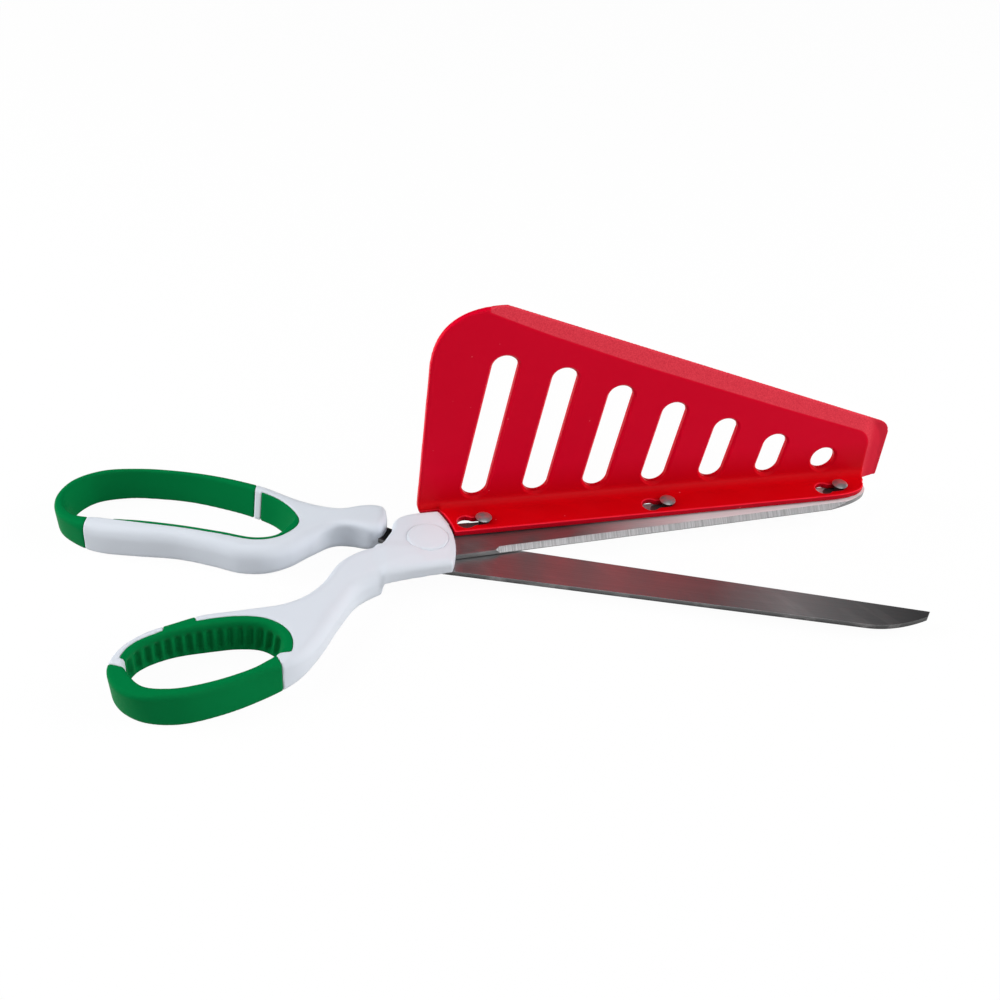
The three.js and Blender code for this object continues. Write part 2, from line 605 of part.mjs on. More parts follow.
// Angled sheet of flange and plate, running the spatula's whole length
function bentSheet() {
  const back = PLATE_FRONT + SPATULA_WALL;
  const path = new THREE.Path();
  path.moveTo(FLANGE_FRONT, FLANGE_LOW);
  const outside = back - BEND_OUTSIDE;
  path.lineTo(outside, FLANGE_LOW);
  path.absarc(outside, FLANGE_LOW + BEND_OUTSIDE, BEND_OUTSIDE, -Math.PI / 2, 0, false);
  path.lineTo(back, PLATE_TOP + CUT);
  path.lineTo(PLATE_FRONT, PLATE_TOP + CUT);
  const inside = PLATE_FRONT - BEND_INSIDE;
  path.lineTo(PLATE_FRONT, FLANGE_HIGH + BEND_INSIDE);
  path.absarc(inside, FLANGE_HIGH + BEND_INSIDE, BEND_INSIDE, 0, -Math.PI / 2, true);
  path.lineTo(FLANGE_FRONT, FLANGE_HIGH);
  const length = PLATE_TIP + 2 * CUT;
  const geometry = alongX(new THREE.Shape(drawn(path)), length);
  return solidOf(toedIn(geometry.translate(-CUT, 0, 0)));
}

// Prism over an outline in the plate's plane (along X, up Z), right through the spatula
function sidePrism(points) {
  const depth = PLATE_FRONT + SPATULA_WALL + 2 * CUT;
  const geometry = extruded(new THREE.Shape(points), depth);
  return solidOf(geometry.rotateX(Math.PI / 2).translate(0, depth - CUT, 0));
}

const slopeStart = PLATE_REAR + PLATE_CORNER;
const slopeFall = (PLATE_TOP - PLATE_TIP_HEIGHT) / (PLATE_TIP - slopeStart);
const slopeAngle = Math.atan(slopeFall);
const slopeHeight = (x) => PLATE_TOP - slopeFall * Math.max(x - slopeStart, 0);

// Wedge-shaped plate: steep rear edge, big rear corner, sloping edge down to a short tip
function plateOutline() {
  const low = FLANGE_LOW - SEAT_GAP;
  const path = new THREE.Path();
  path.moveTo(PLATE_REAR_FOOT + REAR_FOOT_CORNER, low);
  path.lineTo(PLATE_TIP, low);
  path.lineTo(PLATE_TIP, PLATE_TIP_HEIGHT - TIP_CORNER);
  const slopeEnd = PLATE_TIP - TIP_CORNER;
  path.quadraticCurveTo(PLATE_TIP, PLATE_TIP_HEIGHT, slopeEnd, slopeHeight(slopeEnd));
  path.lineTo(slopeStart, PLATE_TOP);
  path.quadraticCurveTo(PLATE_REAR, PLATE_TOP, PLATE_REAR, PLATE_TOP - PLATE_CORNER_DROP);
  path.lineTo(PLATE_REAR_FOOT, low + REAR_FOOT_CORNER);
  path.quadraticCurveTo(PLATE_REAR_FOOT, low, PLATE_REAR_FOOT + REAR_FOOT_CORNER, low);
  return drawn(path);
}

// Area in front of the flange and past its round end, which follows the blade's to the plate's tip
function flangeTrimArea() {
  const start = UPPER_REACH - ROUND_END;
  const end = UPPER_REACH - FLANGE_END_MARGIN;
  const path = new THREE.Path();
  path.moveTo(-2 * CUT, FLANGE_FRONT - CUT);
  path.lineTo(-2 * CUT, FLANGE_FRONT);
  path.lineTo(start, FLANGE_FRONT);
  path.quadraticCurveTo(end, FLANGE_FRONT, end, BACK_OFFSET);
  path.lineTo(PLATE_TIP, plateFrontAt(PLATE_TIP));
  path.lineTo(PLATE_TIP + 2 * CUT, plateFrontAt(PLATE_TIP));
  path.lineTo(PLATE_TIP + 2 * CUT, FLANGE_FRONT - CUT);
  return drawn(path);
}

// Wedge that thins the serving face along an edge, from a point on the edge in a direction
function chamferCutter(x, z, angle, length) {
  const reach = CHAMFER_WIDTH + CUT;
  const section = new THREE.Shape(plan([
    [0, -CUT], [reach, -CUT], [reach, (CHAMFER_DEPTH * reach) / CHAMFER_WIDTH], [0, 0],
  ]));
  const geometry = extruded(section, length);
  const outward = new THREE.Vector3(Math.sin(angle), 0, Math.cos(angle));
  const across = new THREE.Vector3(0, 1, 0);
  const along = new THREE.Vector3().crossVectors(outward, across);
  geometry.applyMatrix4(new THREE.Matrix4().makeBasis(outward, across, along));
  geometry.translate(x - CHAMFER_WIDTH * outward.x, PLATE_FRONT, z - CHAMFER_WIDTH * outward.z);
  return solidOf(toedIn(geometry));
}

// Leaning round-ended drain slot, flared towards the serving face
function slotCutter(x, height) {
  const half = SLOT_WIDTH / 2;
  const lean = Math.tan(radians(SLOT_LEAN));
  const low = SLOT_FOOT + half;
  const high = Math.max(height - half, low + SEAT_GAP);
  const path = new THREE.Path();
  path.absarc(x + lean * (high - low), high, half, 0, Math.PI, false);
  path.absarc(x, low, half, Math.PI, 2 * Math.PI, false);
  const flare = 2 * SLOT_CHAMFER;
  const geometry = new THREE.ExtrudeGeometry(new THREE.Shape(drawn(path)), {
    depth: SPATULA_WALL + CUT,
    bevelThickness: flare,
    bevelSize: -flare,
    bevelOffset: flare,
    bevelSegments: 1,
  });
  const back = PLATE_FRONT + SPATULA_WALL + CUT;
  return solidOf(toedIn(geometry.rotateX(Math.PI / 2).translate(0, back + SLOT_CHAMFER, 0)));
}

function slotCutters() {
  const last = PLATE_TIP - SLOT_LAST;
  const first = PLATE_REAR + SLOT_FIRST;
  const pitch = (last - first) / (SLOT_COUNT - 1);
  const cutters = [];
  for (let i = 0; i < SLOT_COUNT; i += 1) {
    const x = first + i * pitch;
    cutters.push(slotCutter(x, slopeHeight(x) - SLOT_HEADROOM));
  }
  return cutters;
}

// Keyhole: a hole that lets the stud's head through, and a slot that locks on its shank
function keyholeCutter(x) {
  const low = FLANGE_LOW - CUT;
  const high = FLANGE_HIGH + CUT;
  const width = STUD_SHANK + 2 * KEYHOLE_CLEARANCE;
  const entry = x - SLIDE_TRAVEL;
  const slot = plan([
    [entry, STUD_OFFSET - width / 2], [x, STUD_OFFSET - width / 2], [x, STUD_OFFSET + width / 2],
    [entry, STUD_OFFSET + width / 2],
  ]);
  const hole = disc(entry, STUD_OFFSET, STUD_HEAD + 2 * KEYHOLE_CLEARANCE, low, high);
  return hole.add(prism(slot, low, high)).add(disc(x, STUD_OFFSET, width, low, high));
}

function spatula() {
  const high = PLATE_TOP + 2 * CUT;
  let sheet = bentSheet().intersect(sidePrism(plateOutline()));
  sheet = sheet.subtract(prism(grow(hubOutline(), 2 * RUNNING_GAP), -CUT, high));
  sheet = sheet.subtract(prism(flangeTrimArea(), -CUT, high));
  const slopeLength = (PLATE_TIP - PLATE_REAR - CHAMFER_START) / Math.cos(slopeAngle);
  sheet = sheet.subtract(chamferCutter(PLATE_TIP, PLATE_TIP_HEIGHT, slopeAngle, slopeLength));
  sheet = sheet.subtract(chamferCutter(PLATE_TIP, 0, Math.PI / 2, PLATE_TIP_HEIGHT));
  slotCutters().forEach((cutter) => {
    sheet = sheet.subtract(cutter);
  });
  studPlaces().forEach((x) => {
    sheet = sheet.subtract(keyholeCutter(x));
  });
  return sheet;
}

function finish(color, roughness, metalness) {
  return new THREE.MeshStandardMaterial({ color, roughness, metalness });
}

const bladeSteel = () => finish(0xb9bcc0, 0.32, 1);
const pivotSteel = () => finish(0x9a9da2, 0.28, 1);
const whitePlastic = () => finish(0xe9ebf0, 0.38, 0);
const greenRubber = () => finish(0x0a7a3c, 0.55, 0);
const redPlastic = () => finish(0xc20a22, 0.35, 0);

function piece(name, solid, material) {
  const mesh = new THREE.Mesh(geometryOf(solid), material);
  mesh.name = name;
  return mesh;
}

function half(turn, pieces) {
  const group = new THREE.Group();
  group.rotation.z = radians(turn);
  group.position.z = HANDLE_HALF;
  group.add(...pieces);
  return group;
}

const fingerHalf = half(-REST_OPENING / 2, [
  piece('lower_blade', lowerBlade(), bladeSteel()),
  piece('finger_handle_core', fingerCore(), whitePlastic()),
  piece('finger_outer_cover', outerCover(fingerLoop, FINGER_COVER_AREA), greenRubber()),
  piece('finger_inner_liner', fingerLiner(), greenRubber()),
  piece('pivot_post', pivotPost(), pivotSteel()),
  piece('pivot_screw', pivotScrew(), pivotSteel()),
  piece('pivot_washer', pivotWasher(), pivotSteel()),
]);

const thumbHalf = half(REST_OPENING / 2, [
  piece('upper_blade', upperBlade(), bladeSteel()),
  piece('thumb_handle_core', thumbCore(), whitePlastic()),
  piece('thumb_outer_cover', outerCover(thumbLoop, THUMB_COVER_AREA), greenRubber()),
  piece('thumb_inner_liner', thumbLiner(), greenRubber()),
  piece('spring_washer', springWasher(), pivotSteel()),
  piece('pivot_cap', pivotCap(), whitePlastic()),
  ...studPlaces().map((x, i) => piece(`spatula_stud_${i + 1}`, stud(x), pivotSteel())),
  piece('spatula', spatula(), redPlastic()),
]);

const scissors = new THREE.Group();
scissors.add(fingerHalf, thumbHalf);

export default scissors;
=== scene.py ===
"""Pizza scissors with a clip-on serving spatula, dressed for a studio picture."""
import math

import bmesh
import bpy
import numpy as np
from mathutils import Matrix, Vector


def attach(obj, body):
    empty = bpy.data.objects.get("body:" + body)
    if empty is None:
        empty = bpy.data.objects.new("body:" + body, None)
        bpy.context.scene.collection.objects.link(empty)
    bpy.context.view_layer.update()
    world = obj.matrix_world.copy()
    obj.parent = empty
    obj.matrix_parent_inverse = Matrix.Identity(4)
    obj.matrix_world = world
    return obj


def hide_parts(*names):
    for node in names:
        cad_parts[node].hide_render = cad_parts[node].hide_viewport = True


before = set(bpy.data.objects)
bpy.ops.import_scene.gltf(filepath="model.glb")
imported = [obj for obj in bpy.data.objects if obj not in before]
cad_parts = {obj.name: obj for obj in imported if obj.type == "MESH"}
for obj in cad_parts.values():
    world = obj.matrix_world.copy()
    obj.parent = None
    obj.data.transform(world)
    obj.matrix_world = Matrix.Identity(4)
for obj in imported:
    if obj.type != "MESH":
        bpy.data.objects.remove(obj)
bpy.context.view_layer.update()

# Sizes in millimetres. Each half is drawn as it lies when the scissors are shut, with the pivot at
# zero and zero height at the plane in which the blades slide, and is then turned open and lifted.
MM = 0.001
REST_TURN = 9.85  # degrees that each half is turned open
PIVOT_HEIGHT = 5.5  # floor to the blades' sliding plane
FINGER_TURN, THUMB_TURN = -REST_TURN, REST_TURN

BLADE_REACH, UPPER_REACH = 168, 165
BLADE_LOW, BLADE_HIGH = 0.15, 1.95
BACK_OFFSET, MIDDLE_BACK = 9.3, 10.5
SPINE_START, SPINE_TURN, SPINE_END_MARGIN = 22, 40, 5  # where the upper blade's back is wider
LOWER_EDGE, UPPER_EDGE = (6.6, 0.9), (7, -0.5)  # offsets from the pivot line at the pivot and at the tip
EDGE_LAND = 0.3
BEVEL_WIDTH, BEVEL_START, BEVEL_POINT = 1.6, 23.7, 1.5
POINT_BLUNT, POINT_RAKE, POINT_CURVE, POINT_BELLY = 2.6, 1, 22, 10
ROUND_END, ROUND_END_TURN = 17, 3.1
HEEL_REACH = 10
TANG_WIDTH = 6.6
UPPER_BORE, LOWER_BORE = 3.3, 3.25  # radii of the blades' holes for the post
BLADE_ROOM = 0.25  # between the upper blade and the hub round it
CUT = 5  # by which cutters pass what they cut
FINGER_TANG, THUMB_TANG = (160, 28), (208, 34)  # direction in degrees, length

HANDLE_HALF = 5.5
COVER_GAP = 0.05
FINGER_LINER_DEPTH, FINGER_LINER_SIDE = 3.2, 1.3
THUMB_LINER_DEPTH = 3.7
TAB_DEPTH = 1.6
STEP_REACH = 17
HUB_NOSE, HUB_NOSE_RADIUS, HUB_NOSE_SHIFT = 9.3, 33, 1.5
HUB_FAR, HUB_NEAR, HUB_REAR, HUB_SLANT = 14.2, 13.3, 10.4, 5
HUB_HIGH = 5.3
CAP_RADIUS, CAP_LOW, CAP_HIGH, CAP_RIM = 6.9, 4.1, 6.05, 1.3
WELL_RADIUS = 6.2
PLUG_BORE, PLUG_RADIUS, PLUG_LOW = 5.05, 5.95, 2.45  # ring under the cap
POST_RADIUS, POST_HIGH, POST_HEAD, POST_HEAD_HIGH = 3, 2.6, 5.5, -3.05
WASHER_BORE, WASHER_RADIUS, WASHER_LOW, WASHER_HIGH = 3.25, 6, -2.8, -2.2

FLANGE_LOW, FLANGE_HIGH = 2.2, 4.6
FLANGE_FRONT, FLANGE_END_MARGIN = 2.3, 1.2
PLATE_FRONT, PLATE_BACK = 15.8, 18.2
TOE_IN = math.tan(math.radians(0.92))  # by which the plate nears the edge towards its tip
PLATE_REAR, PLATE_REAR_FOOT = 1.3, -0.2
PLATE_TOP, PLATE_CORNER, PLATE_CORNER_DROP = 82, 23.9, 23
PLATE_TIP, PLATE_TIP_HEIGHT, TIP_CORNER = 172.2, 25.4, 4.5
REAR_FOOT_CORNER = 4
BEND_INSIDE, BEND_OUTSIDE = 3.5, 2
STRIP_DEPTH, STRIP_START, STRIP_CORNER = 1.3, 19.2, 4.5
STRIP_PLACES, STRIP_WIDTHS = (19, 30, 40, 70, 130, 160), (3.5, 4.3, 4.9, 5.8, 5.8, 5.4)
SLOPE_START = PLATE_REAR + PLATE_CORNER
SLOPE_FALL = (PLATE_TOP - PLATE_TIP_HEIGHT) / (PLATE_TIP - SLOPE_START)
SLOT_COUNT, SLOT_WIDTH, SLOT_LEAN = 7, 9, 8
SLOT_FIRST, SLOT_LAST, SLOT_FOOT = 19.3, 148.2, 8
SLOT_HEADROOM, SLOT_FLARE = 18, 0.8

STUD_PLACES = (20.8, 87.15, 153.5)
STUD_OFFSET = 6.9
STUD_SHANK, STUD_HEAD, STUD_STAND, STUD_DOME = 3.4, 5.6, 1.1, 1.2
TENON_RADIUS, TENON_LOW, TENON_HIGH = 1.45, 0.28, 2.08
TRACK_HALF, TRACK_LENGTH, TRACK_DEPTH = 2.7, 3, 0.15
SLIDE_TRAVEL = 6
KEYHOLE_CLEARANCE = 0.3

FLUTE_COUNT, FLUTE_PITCH, FLUTE_FIRST = 16, 3.1, 5.5
FLUTE_WIDTH, FLUTE_DEPTH = 3.1, 1.1
FLUTE_LOW, FLUTE_HIGH, FLUTE_FADE = -5.3, 3.8, 2.6

# Plan outlines of the handles, through which smooth closed curves run
FINGER_OUTLINE = [
    (-15.4, 11.6), (-16.6, 14.6), (-19.5, 15.3), (-25, 14.7), (-32, 11.8), (-45, 12.9), (-60, 16.6),
    (-74, 18.8), (-88, 19.2), (-102, 17.8), (-114.4, 14), (-122.3, 6.6), (-124.5, -3), (-121.3, -11),
    (-113.5, -15.6), (-105, -17.1), (-93, -16.5), (-80, -15.5), (-68, -16.8), (-58.5, -18.4),
    (-50, -17.2), (-43, -12.8), (-37.5, -6.4), (-31, -0.2),
    (-25, 0.8), (-20.3, 1.1), (-16.1, 3.2), (-14.8, 7.4),
]
FINGER_HOLE = [
    (-119.2, -1.8), (-115.4, 7.2), (-105.5, 12.4), (-95, 14.1), (-84, 14.5), (-73, 13.2),
    (-62, 10.8), (-52, 6.4), (-46.3, -0.5), (-48.6, -7.6), (-55, -10.6), (-67, -9.9), (-80, -9.3),
    (-93, -9.5), (-106, -10.4), (-115, -8.6),
]
THUMB_OUTLINE = [
    (-2, -3), (-10, -0.2), (-16, 0.3), (-22.6, -0.9), (-30.3, -5.3), (-38, -15.2), (-45, -20.7),
    (-53, -24.1), (-64, -25.1), (-75, -25.5), (-84, -27.8), (-93.5, -31), (-100.6, -36.4),
    (-104.3, -44), (-102.5, -52), (-96.3, -58), (-85.2, -60.6), (-73.7, -59.2), (-61.7, -55.4),
    (-49.5, -49.3), (-41.9, -41.4), (-33.8, -29.4), (-26.3, -20), (-18.5, -15.6), (-10, -13), (-2, -11),
]
THUMB_HOLE = [
    (-98.2, -45.3), (-95.6, -38.6), (-87, -34.2), (-77, -32.1), (-65.5, -31.8), (-58, -33.9),
    (-54, -38.5), (-54.4, -44.5), (-60.3, -49.2), (-67, -51.9), (-78, -54.4), (-87, -54.8),
    (-94.6, -52.4),
]
FINGER_COVER_AREA = [(-61.2, 30), (-135, 30), (-135, -30), (-110.8, -30), (-110.8, -3), (-61.2, 3)]
FINGER_LINER_AREA = [(-58.6, 30), (-58.6, 3), (-106, -3), (-106, -30), (-30, -30), (-30, 30)]
THUMB_COVER_AREA = [(-112, -38), (-112, -70), (-49.4, -70), (-56.4, -43), (-92, -48.2)]
THUMB_LINER_AREA = [
    (-112, -34.2), (-92, -44.9), (-60, -42), (-54.7, -45.8), (-40, -45.8), (-40, -15), (-112, -15),
]
THUMB_TAB_AREA = [(-87.2, -36), (-77.5, -36), (-77.5, -15), (-87.2, -15)]


def smoothstep(x, low, high):
    t = np.clip((x - low) / (high - low), 0, 1)
    return t * t * (3 - 2 * t)


def smooth_loop(knots, spacing=0.8):
    """Evenly spaced points of a smooth closed curve through the knots."""
    knots = np.array(knots, float)
    p0, p1, p2, p3 = (np.roll(knots, shift, 0) for shift in (1, 0, -1, -2))
    steps = [np.sqrt(np.linalg.norm(b - a, axis=1))[:, None] for a, b in ((p0, p1), (p1, p2), (p2, p3))]
    s0, s1, s2 = steps
    leave = ((p1 - p0) / s0 - (p2 - p0) / (s0 + s1) + (p2 - p1) / s1) * s1
    arrive = ((p2 - p1) / s1 - (p3 - p1) / (s1 + s2) + (p3 - p2) / s2) * s1
    t = np.linspace(0, 1, 40, endpoint=False)[None, :, None]
    a, b, c, d = (x[:, None, :] for x in (p1, leave, -3 * p1 + 3 * p2 - 2 * leave - arrive,
                                          2 * p1 - 2 * p2 + leave + arrive))
    fine = (a + t * (b + t * (c + t * d))).reshape(-1, 2)
    closed = np.vstack([fine, fine[:1]])
    along = np.concatenate([[0], np.cumsum(np.linalg.norm(np.diff(closed, axis=0), axis=1))])
    places = np.linspace(0, along[-1], int(along[-1] / spacing), endpoint=False)
    return np.stack([np.interp(places, along, closed[:, k]) for k in (0, 1)], 1)


def arc(cx, cy, radius, start, end, count=24):
    angles = np.radians(np.linspace(start, end, count))
    return [(cx + radius * math.cos(a), cy + radius * math.sin(a)) for a in angles]


def bent(a, b, c, count=16):
    """Curve from a to c that leaves and arrives towards b."""
    return [tuple((1 - t) ** 2 * np.array(a) + 2 * t * (1 - t) * np.array(b) + t * t * np.array(c))
            for t in np.linspace(0, 1, count)]


def outline_field(points, u, v):
    """Distance from each place of a grid to a closed outline, negative inside it."""
    pu, pv = np.meshgrid(u, v, indexing="ij") if u.ndim == 1 else (u, v)
    nearest = np.full(pu.shape, 1e9)
    inside = np.zeros(pu.shape, bool)
    points = np.array(points, float)
    for (au, av), (bu, bv) in zip(points, np.roll(points, -1, 0)):
        eu, ev = bu - au, bv - av
        length = eu * eu + ev * ev
        if length < 1e-12:
            continue
        t = np.clip(((pu - au) * eu + (pv - av) * ev) / length, 0, 1)
        nearest = np.minimum(nearest, (pu - au - t * eu) ** 2 + (pv - av - t * ev) ** 2)
        if ev:
            inside ^= ((av > pv) != (bv > pv)) & (pu < eu * (pv - av) / ev + au)
    return np.where(inside, -1, 1) * np.sqrt(nearest)


def rounded_edge(outside, above, width, rise):
    """Field of a body inside `outside` and below `above`, whose edge is a quarter of an ellipse."""
    across = (outside + width) / width
    up = (above + rise) / rise
    reach = np.hypot(np.maximum(across, 0), np.maximum(up, 0)) + np.minimum(np.maximum(across, up), 0)
    return (reach - 1) * np.minimum(width, rise)


def soft_min(a, b, reach):
    h = np.clip(0.5 + 0.5 * (b - a) / reach, 0, 1)
    return b + (a - b) * h - reach * h * (1 - h)


def soft_max(a, b, reach):
    return -soft_min(-a, -b, reach)


def sampled(field, places):
    """Field between the grid's corners."""
    top = np.array(field.shape) - 2
    low = np.clip(np.floor(places).astype(int), 0, top)
    f = places - low
    total = 0
    for i in (0, 1):
        for j in (0, 1):
            for k in (0, 1):
                weight = np.abs(1 - i - f[:, 0]) * np.abs(1 - j - f[:, 1]) * np.abs(1 - k - f[:, 2])
                total = total + weight * field[low[:, 0] + i, low[:, 1] + j, low[:, 2] + k]
    return total


def skin(field, axes, relax=4):
    """Evenly meshed skin of the places where a field is negative: (corners, four-sided faces)."""
    inside = field < 0
    shape = np.array(field.shape) - 1
    corners = [(i, j, k) for i in (0, 1) for j in (0, 1) for k in (0, 1)]
    cut = [tuple(slice(c, n + c) for c, n in zip(corner, shape)) for corner in corners]
    filled = sum(inside[c].astype(np.int8) for c in cut)
    active = (filled > 0) & (filled < 8)
    number = np.full(active.shape, -1)
    number[active] = np.arange(active.sum())
    places = np.zeros((active.sum(), 3))
    weight = np.zeros(active.sum())
    for a, ca in enumerate(corners):
        for b, cb in enumerate(corners):
            if a < b and sum(abs(p - q) for p, q in zip(ca, cb)) == 1:
                va, vb = field[cut[a]][active], field[cut[b]][active]
                crossed = (va < 0) != (vb < 0)
                t = np.where(crossed, va / np.where(crossed, va - vb, 1), 0)
                step = np.array(cb) - np.array(ca)
                places += crossed[:, None] * (np.array(ca) + t[:, None] * step)
                weight += crossed
    places = places / weight[:, None] + np.argwhere(active)
    faces = []
    for axis in range(3):
        one, two = (axis + 1) % 3, (axis + 2) % 3
        here = np.moveaxis(inside, (axis, one, two), (0, 1, 2))
        cells = np.moveaxis(number, (axis, one, two), (0, 1, 2))
        changed = np.argwhere(here[:-1, 1:-1, 1:-1] != here[1:, 1:-1, 1:-1])
        i, j, k = changed[:, 0], changed[:, 1], changed[:, 2]
        ring = np.stack([cells[i, j, k], cells[i, j + 1, k], cells[i, j + 1, k + 1], cells[i, j, k + 1]], 1)
        leaving = here[i, j + 1, k + 1]
        faces.append(np.where(leaving[:, None], ring, ring[:, ::-1]))
    faces = np.vstack(faces)
    edges = np.vstack([faces[:, [a, (a + 1) % 4]] for a in range(4)])
    count = np.bincount(edges.ravel(), minlength=len(places))[:, None]
    for _ in range(relax):
        around = np.zeros_like(places)
        np.add.at(around, edges[:, 0], places[edges[:, 1]])
        np.add.at(around, edges[:, 1], places[edges[:, 0]])
        places = places + 0.6 * (around / count - places)
        slope = np.stack([sampled(field, places + half) - sampled(field, places - half)
                          for half in 0.5 * np.eye(3)], 1)
        steep = np.maximum((slope ** 2).sum(1), 1e-4)
        places = places - np.clip(sampled(field, places) / steep, -0.5, 0.5)[:, None] * slope
    origin = np.array([a[0] for a in axes])
    spacing = np.array([a[1] - a[0] for a in axes])
    return origin + places * spacing, faces


def placed(corners, turn):
    """Corners of a half in millimetres as they lie in the opened scissors, in metres."""
    c, s = math.cos(math.radians(turn)), math.sin(math.radians(turn))
    corners = np.asarray(corners, float)
    x, y = corners[:, 0], corners[:, 1]
    return np.stack([c * x - s * y, s * x + c * y, corners[:, 2] + PIVOT_HEIGHT], 1) * MM


def opened(made, turn, unit=MM):
    """The piece moved from the shut scissors to the opened ones; unit is what it is drawn in."""
    corners = np.array([v.co for v in made.data.vertices]) / unit
    made.data.vertices.foreach_set("co", placed(corners, turn).ravel())
    made.data.update()
    return made


def mesh_object(name, corners, faces=(), edges=()):
    mesh = bpy.data.meshes.new(name)
    mesh.from_pydata(np.asarray(corners, float).tolist(), edges, [tuple(face) for face in faces])
    mesh.update()
    made = bpy.data.objects.new(name, mesh)
    bpy.context.scene.collection.objects.link(made)
    return made


def marked(made, name, share):
    """Attribute from zero to one, given by share at each corner of each face."""
    mark = made.data.attributes.new(name, "FLOAT", "CORNER")
    corners = made.data.vertices
    mark.data.foreach_set("value", [float(share(face, corners[i].co))
                                    for face in made.data.polygons for i in face.vertices])


def shade_smooth(made, angle=35):
    made.data.polygons.foreach_set("use_smooth", [True] * len(made.data.polygons))
    made.data.set_sharp_from_angle(angle=math.radians(angle))
    return made


def applied(made):
    """The object with its modifiers turned into plain mesh."""
    plain = bpy.data.meshes.new_from_object(made.evaluated_get(bpy.context.evaluated_depsgraph_get()))
    made.modifiers.clear()
    old = made.data
    made.data = plain
    bpy.data.meshes.remove(old)
    plain.name = made.name
    return made


def dressed(made, body, node_names, finish):
    made.data.materials.clear()
    made.data.materials.append(finish)
    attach(made, body)
    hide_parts(*node_names)
    return made


# Shader pieces


def add_node(tree, kind, **settings):
    made = tree.nodes.new(kind)
    for key, value in settings.items():
        setattr(made, key, value)
    return made


def wire(tree, source, target):
    tree.links.new(source, target)


def set_inputs(made, **values):
    for key, value in values.items():
        made.inputs[key.replace("_", " ")].default_value = value


def new_group(name, inputs, outputs):
    tree = bpy.data.node_groups.new(name, "ShaderNodeTree")
    for label, kind, value in inputs:
        socket = tree.interface.new_socket(label, in_out="INPUT", socket_type=kind)
        socket.default_value = value
    for label, kind in outputs:
        tree.interface.new_socket(label, in_out="OUTPUT", socket_type=kind)
    return tree, tree.nodes.new("NodeGroupInput"), tree.nodes.new("NodeGroupOutput")


def maths(tree, operation, a, b=None):
    made = add_node(tree, "ShaderNodeMath", operation=operation)
    for socket, value in zip(made.inputs, (a, b)):
        if isinstance(value, (int, float)):
            socket.default_value = value
        elif value is not None:
            wire(tree, value, socket)
    return made.outputs["Value"]


def vector(tree, x=None, y=None, z=None):
    made = add_node(tree, "ShaderNodeCombineXYZ")
    for label, value in (("X", x), ("Y", y), ("Z", z)):
        if isinstance(value, (int, float)):
            made.inputs[label].default_value = value
        elif value is not None:
            wire(tree, value, made.inputs[label])
    return made.outputs["Vector"]


def split(tree, source):
    made = add_node(tree, "ShaderNodeSeparateXYZ")
    wire(tree, source, made.inputs["Vector"])
    return made.outputs


def moulded_grain_group():
    """Fine mould texture and slow colour drift, shared by the plastics and the grips."""
    tree, given, result = new_group(
        "moulded_grain",
        [("Grain Scale", "NodeSocketFloat", 1500.0), ("Drift Scale", "NodeSocketFloat", 25.0),
         ("Light", "NodeSocketColor", (1, 1, 1, 1)), ("Shade", "NodeSocketColor", (0, 0, 0, 1))],
        [("Color", "NodeSocketColor"), ("Grain", "NodeSocketFloat"), ("Drift", "NodeSocketFloat")])
    place = add_node(tree, "ShaderNodeTexCoord")
    grain = add_node(tree, "ShaderNodeTexNoise")
    set_inputs(grain, Detail=3.0, Roughness=0.6)
    drift = add_node(tree, "ShaderNodeTexNoise")
    set_inputs(drift, Detail=4.0, Roughness=0.55)
    blend = add_node(tree, "ShaderNodeMix", data_type="RGBA")
    for noise, scale in ((grain, "Grain Scale"), (drift, "Drift Scale")):
        wire(tree, place.outputs["Object"], noise.inputs["Vector"])
        wire(tree, given.outputs[scale], noise.inputs["Scale"])
    wire(tree, drift.outputs["Fac"], blend.inputs["Factor"])
    wire(tree, given.outputs["Shade"], blend.inputs["A"])
    wire(tree, given.outputs["Light"], blend.inputs["B"])
    wire(tree, blend.outputs["Result"], result.inputs["Color"])
    wire(tree, grain.outputs["Fac"], result.inputs["Grain"])
    wire(tree, drift.outputs["Fac"], result.inputs["Drift"])
    return tree


def ranged(tree, value, low, high):
    """The middle values of a noise spread over a range."""
    spread = add_node(tree, "ShaderNodeMapRange")
    set_inputs(spread, From_Min=0.3, From_Max=0.7, To_Min=low, To_Max=high)
    wire(tree, value, spread.inputs["Value"])
    return spread.outputs["Result"]


def bumped(tree, height, shader, strength, distance):
    bump = add_node(tree, "ShaderNodeBump")
    set_inputs(bump, Strength=strength, Distance=distance)
    wire(tree, height, bump.inputs["Height"])
    wire(tree, bump.outputs["Normal"], shader.inputs["Normal"])


def new_material(name, **shader_values):
    made = bpy.data.materials.new(name)
    made.use_nodes = True
    shader = made.node_tree.nodes["Principled BSDF"]
    set_inputs(shader, **shader_values)
    return made, made.node_tree, shader


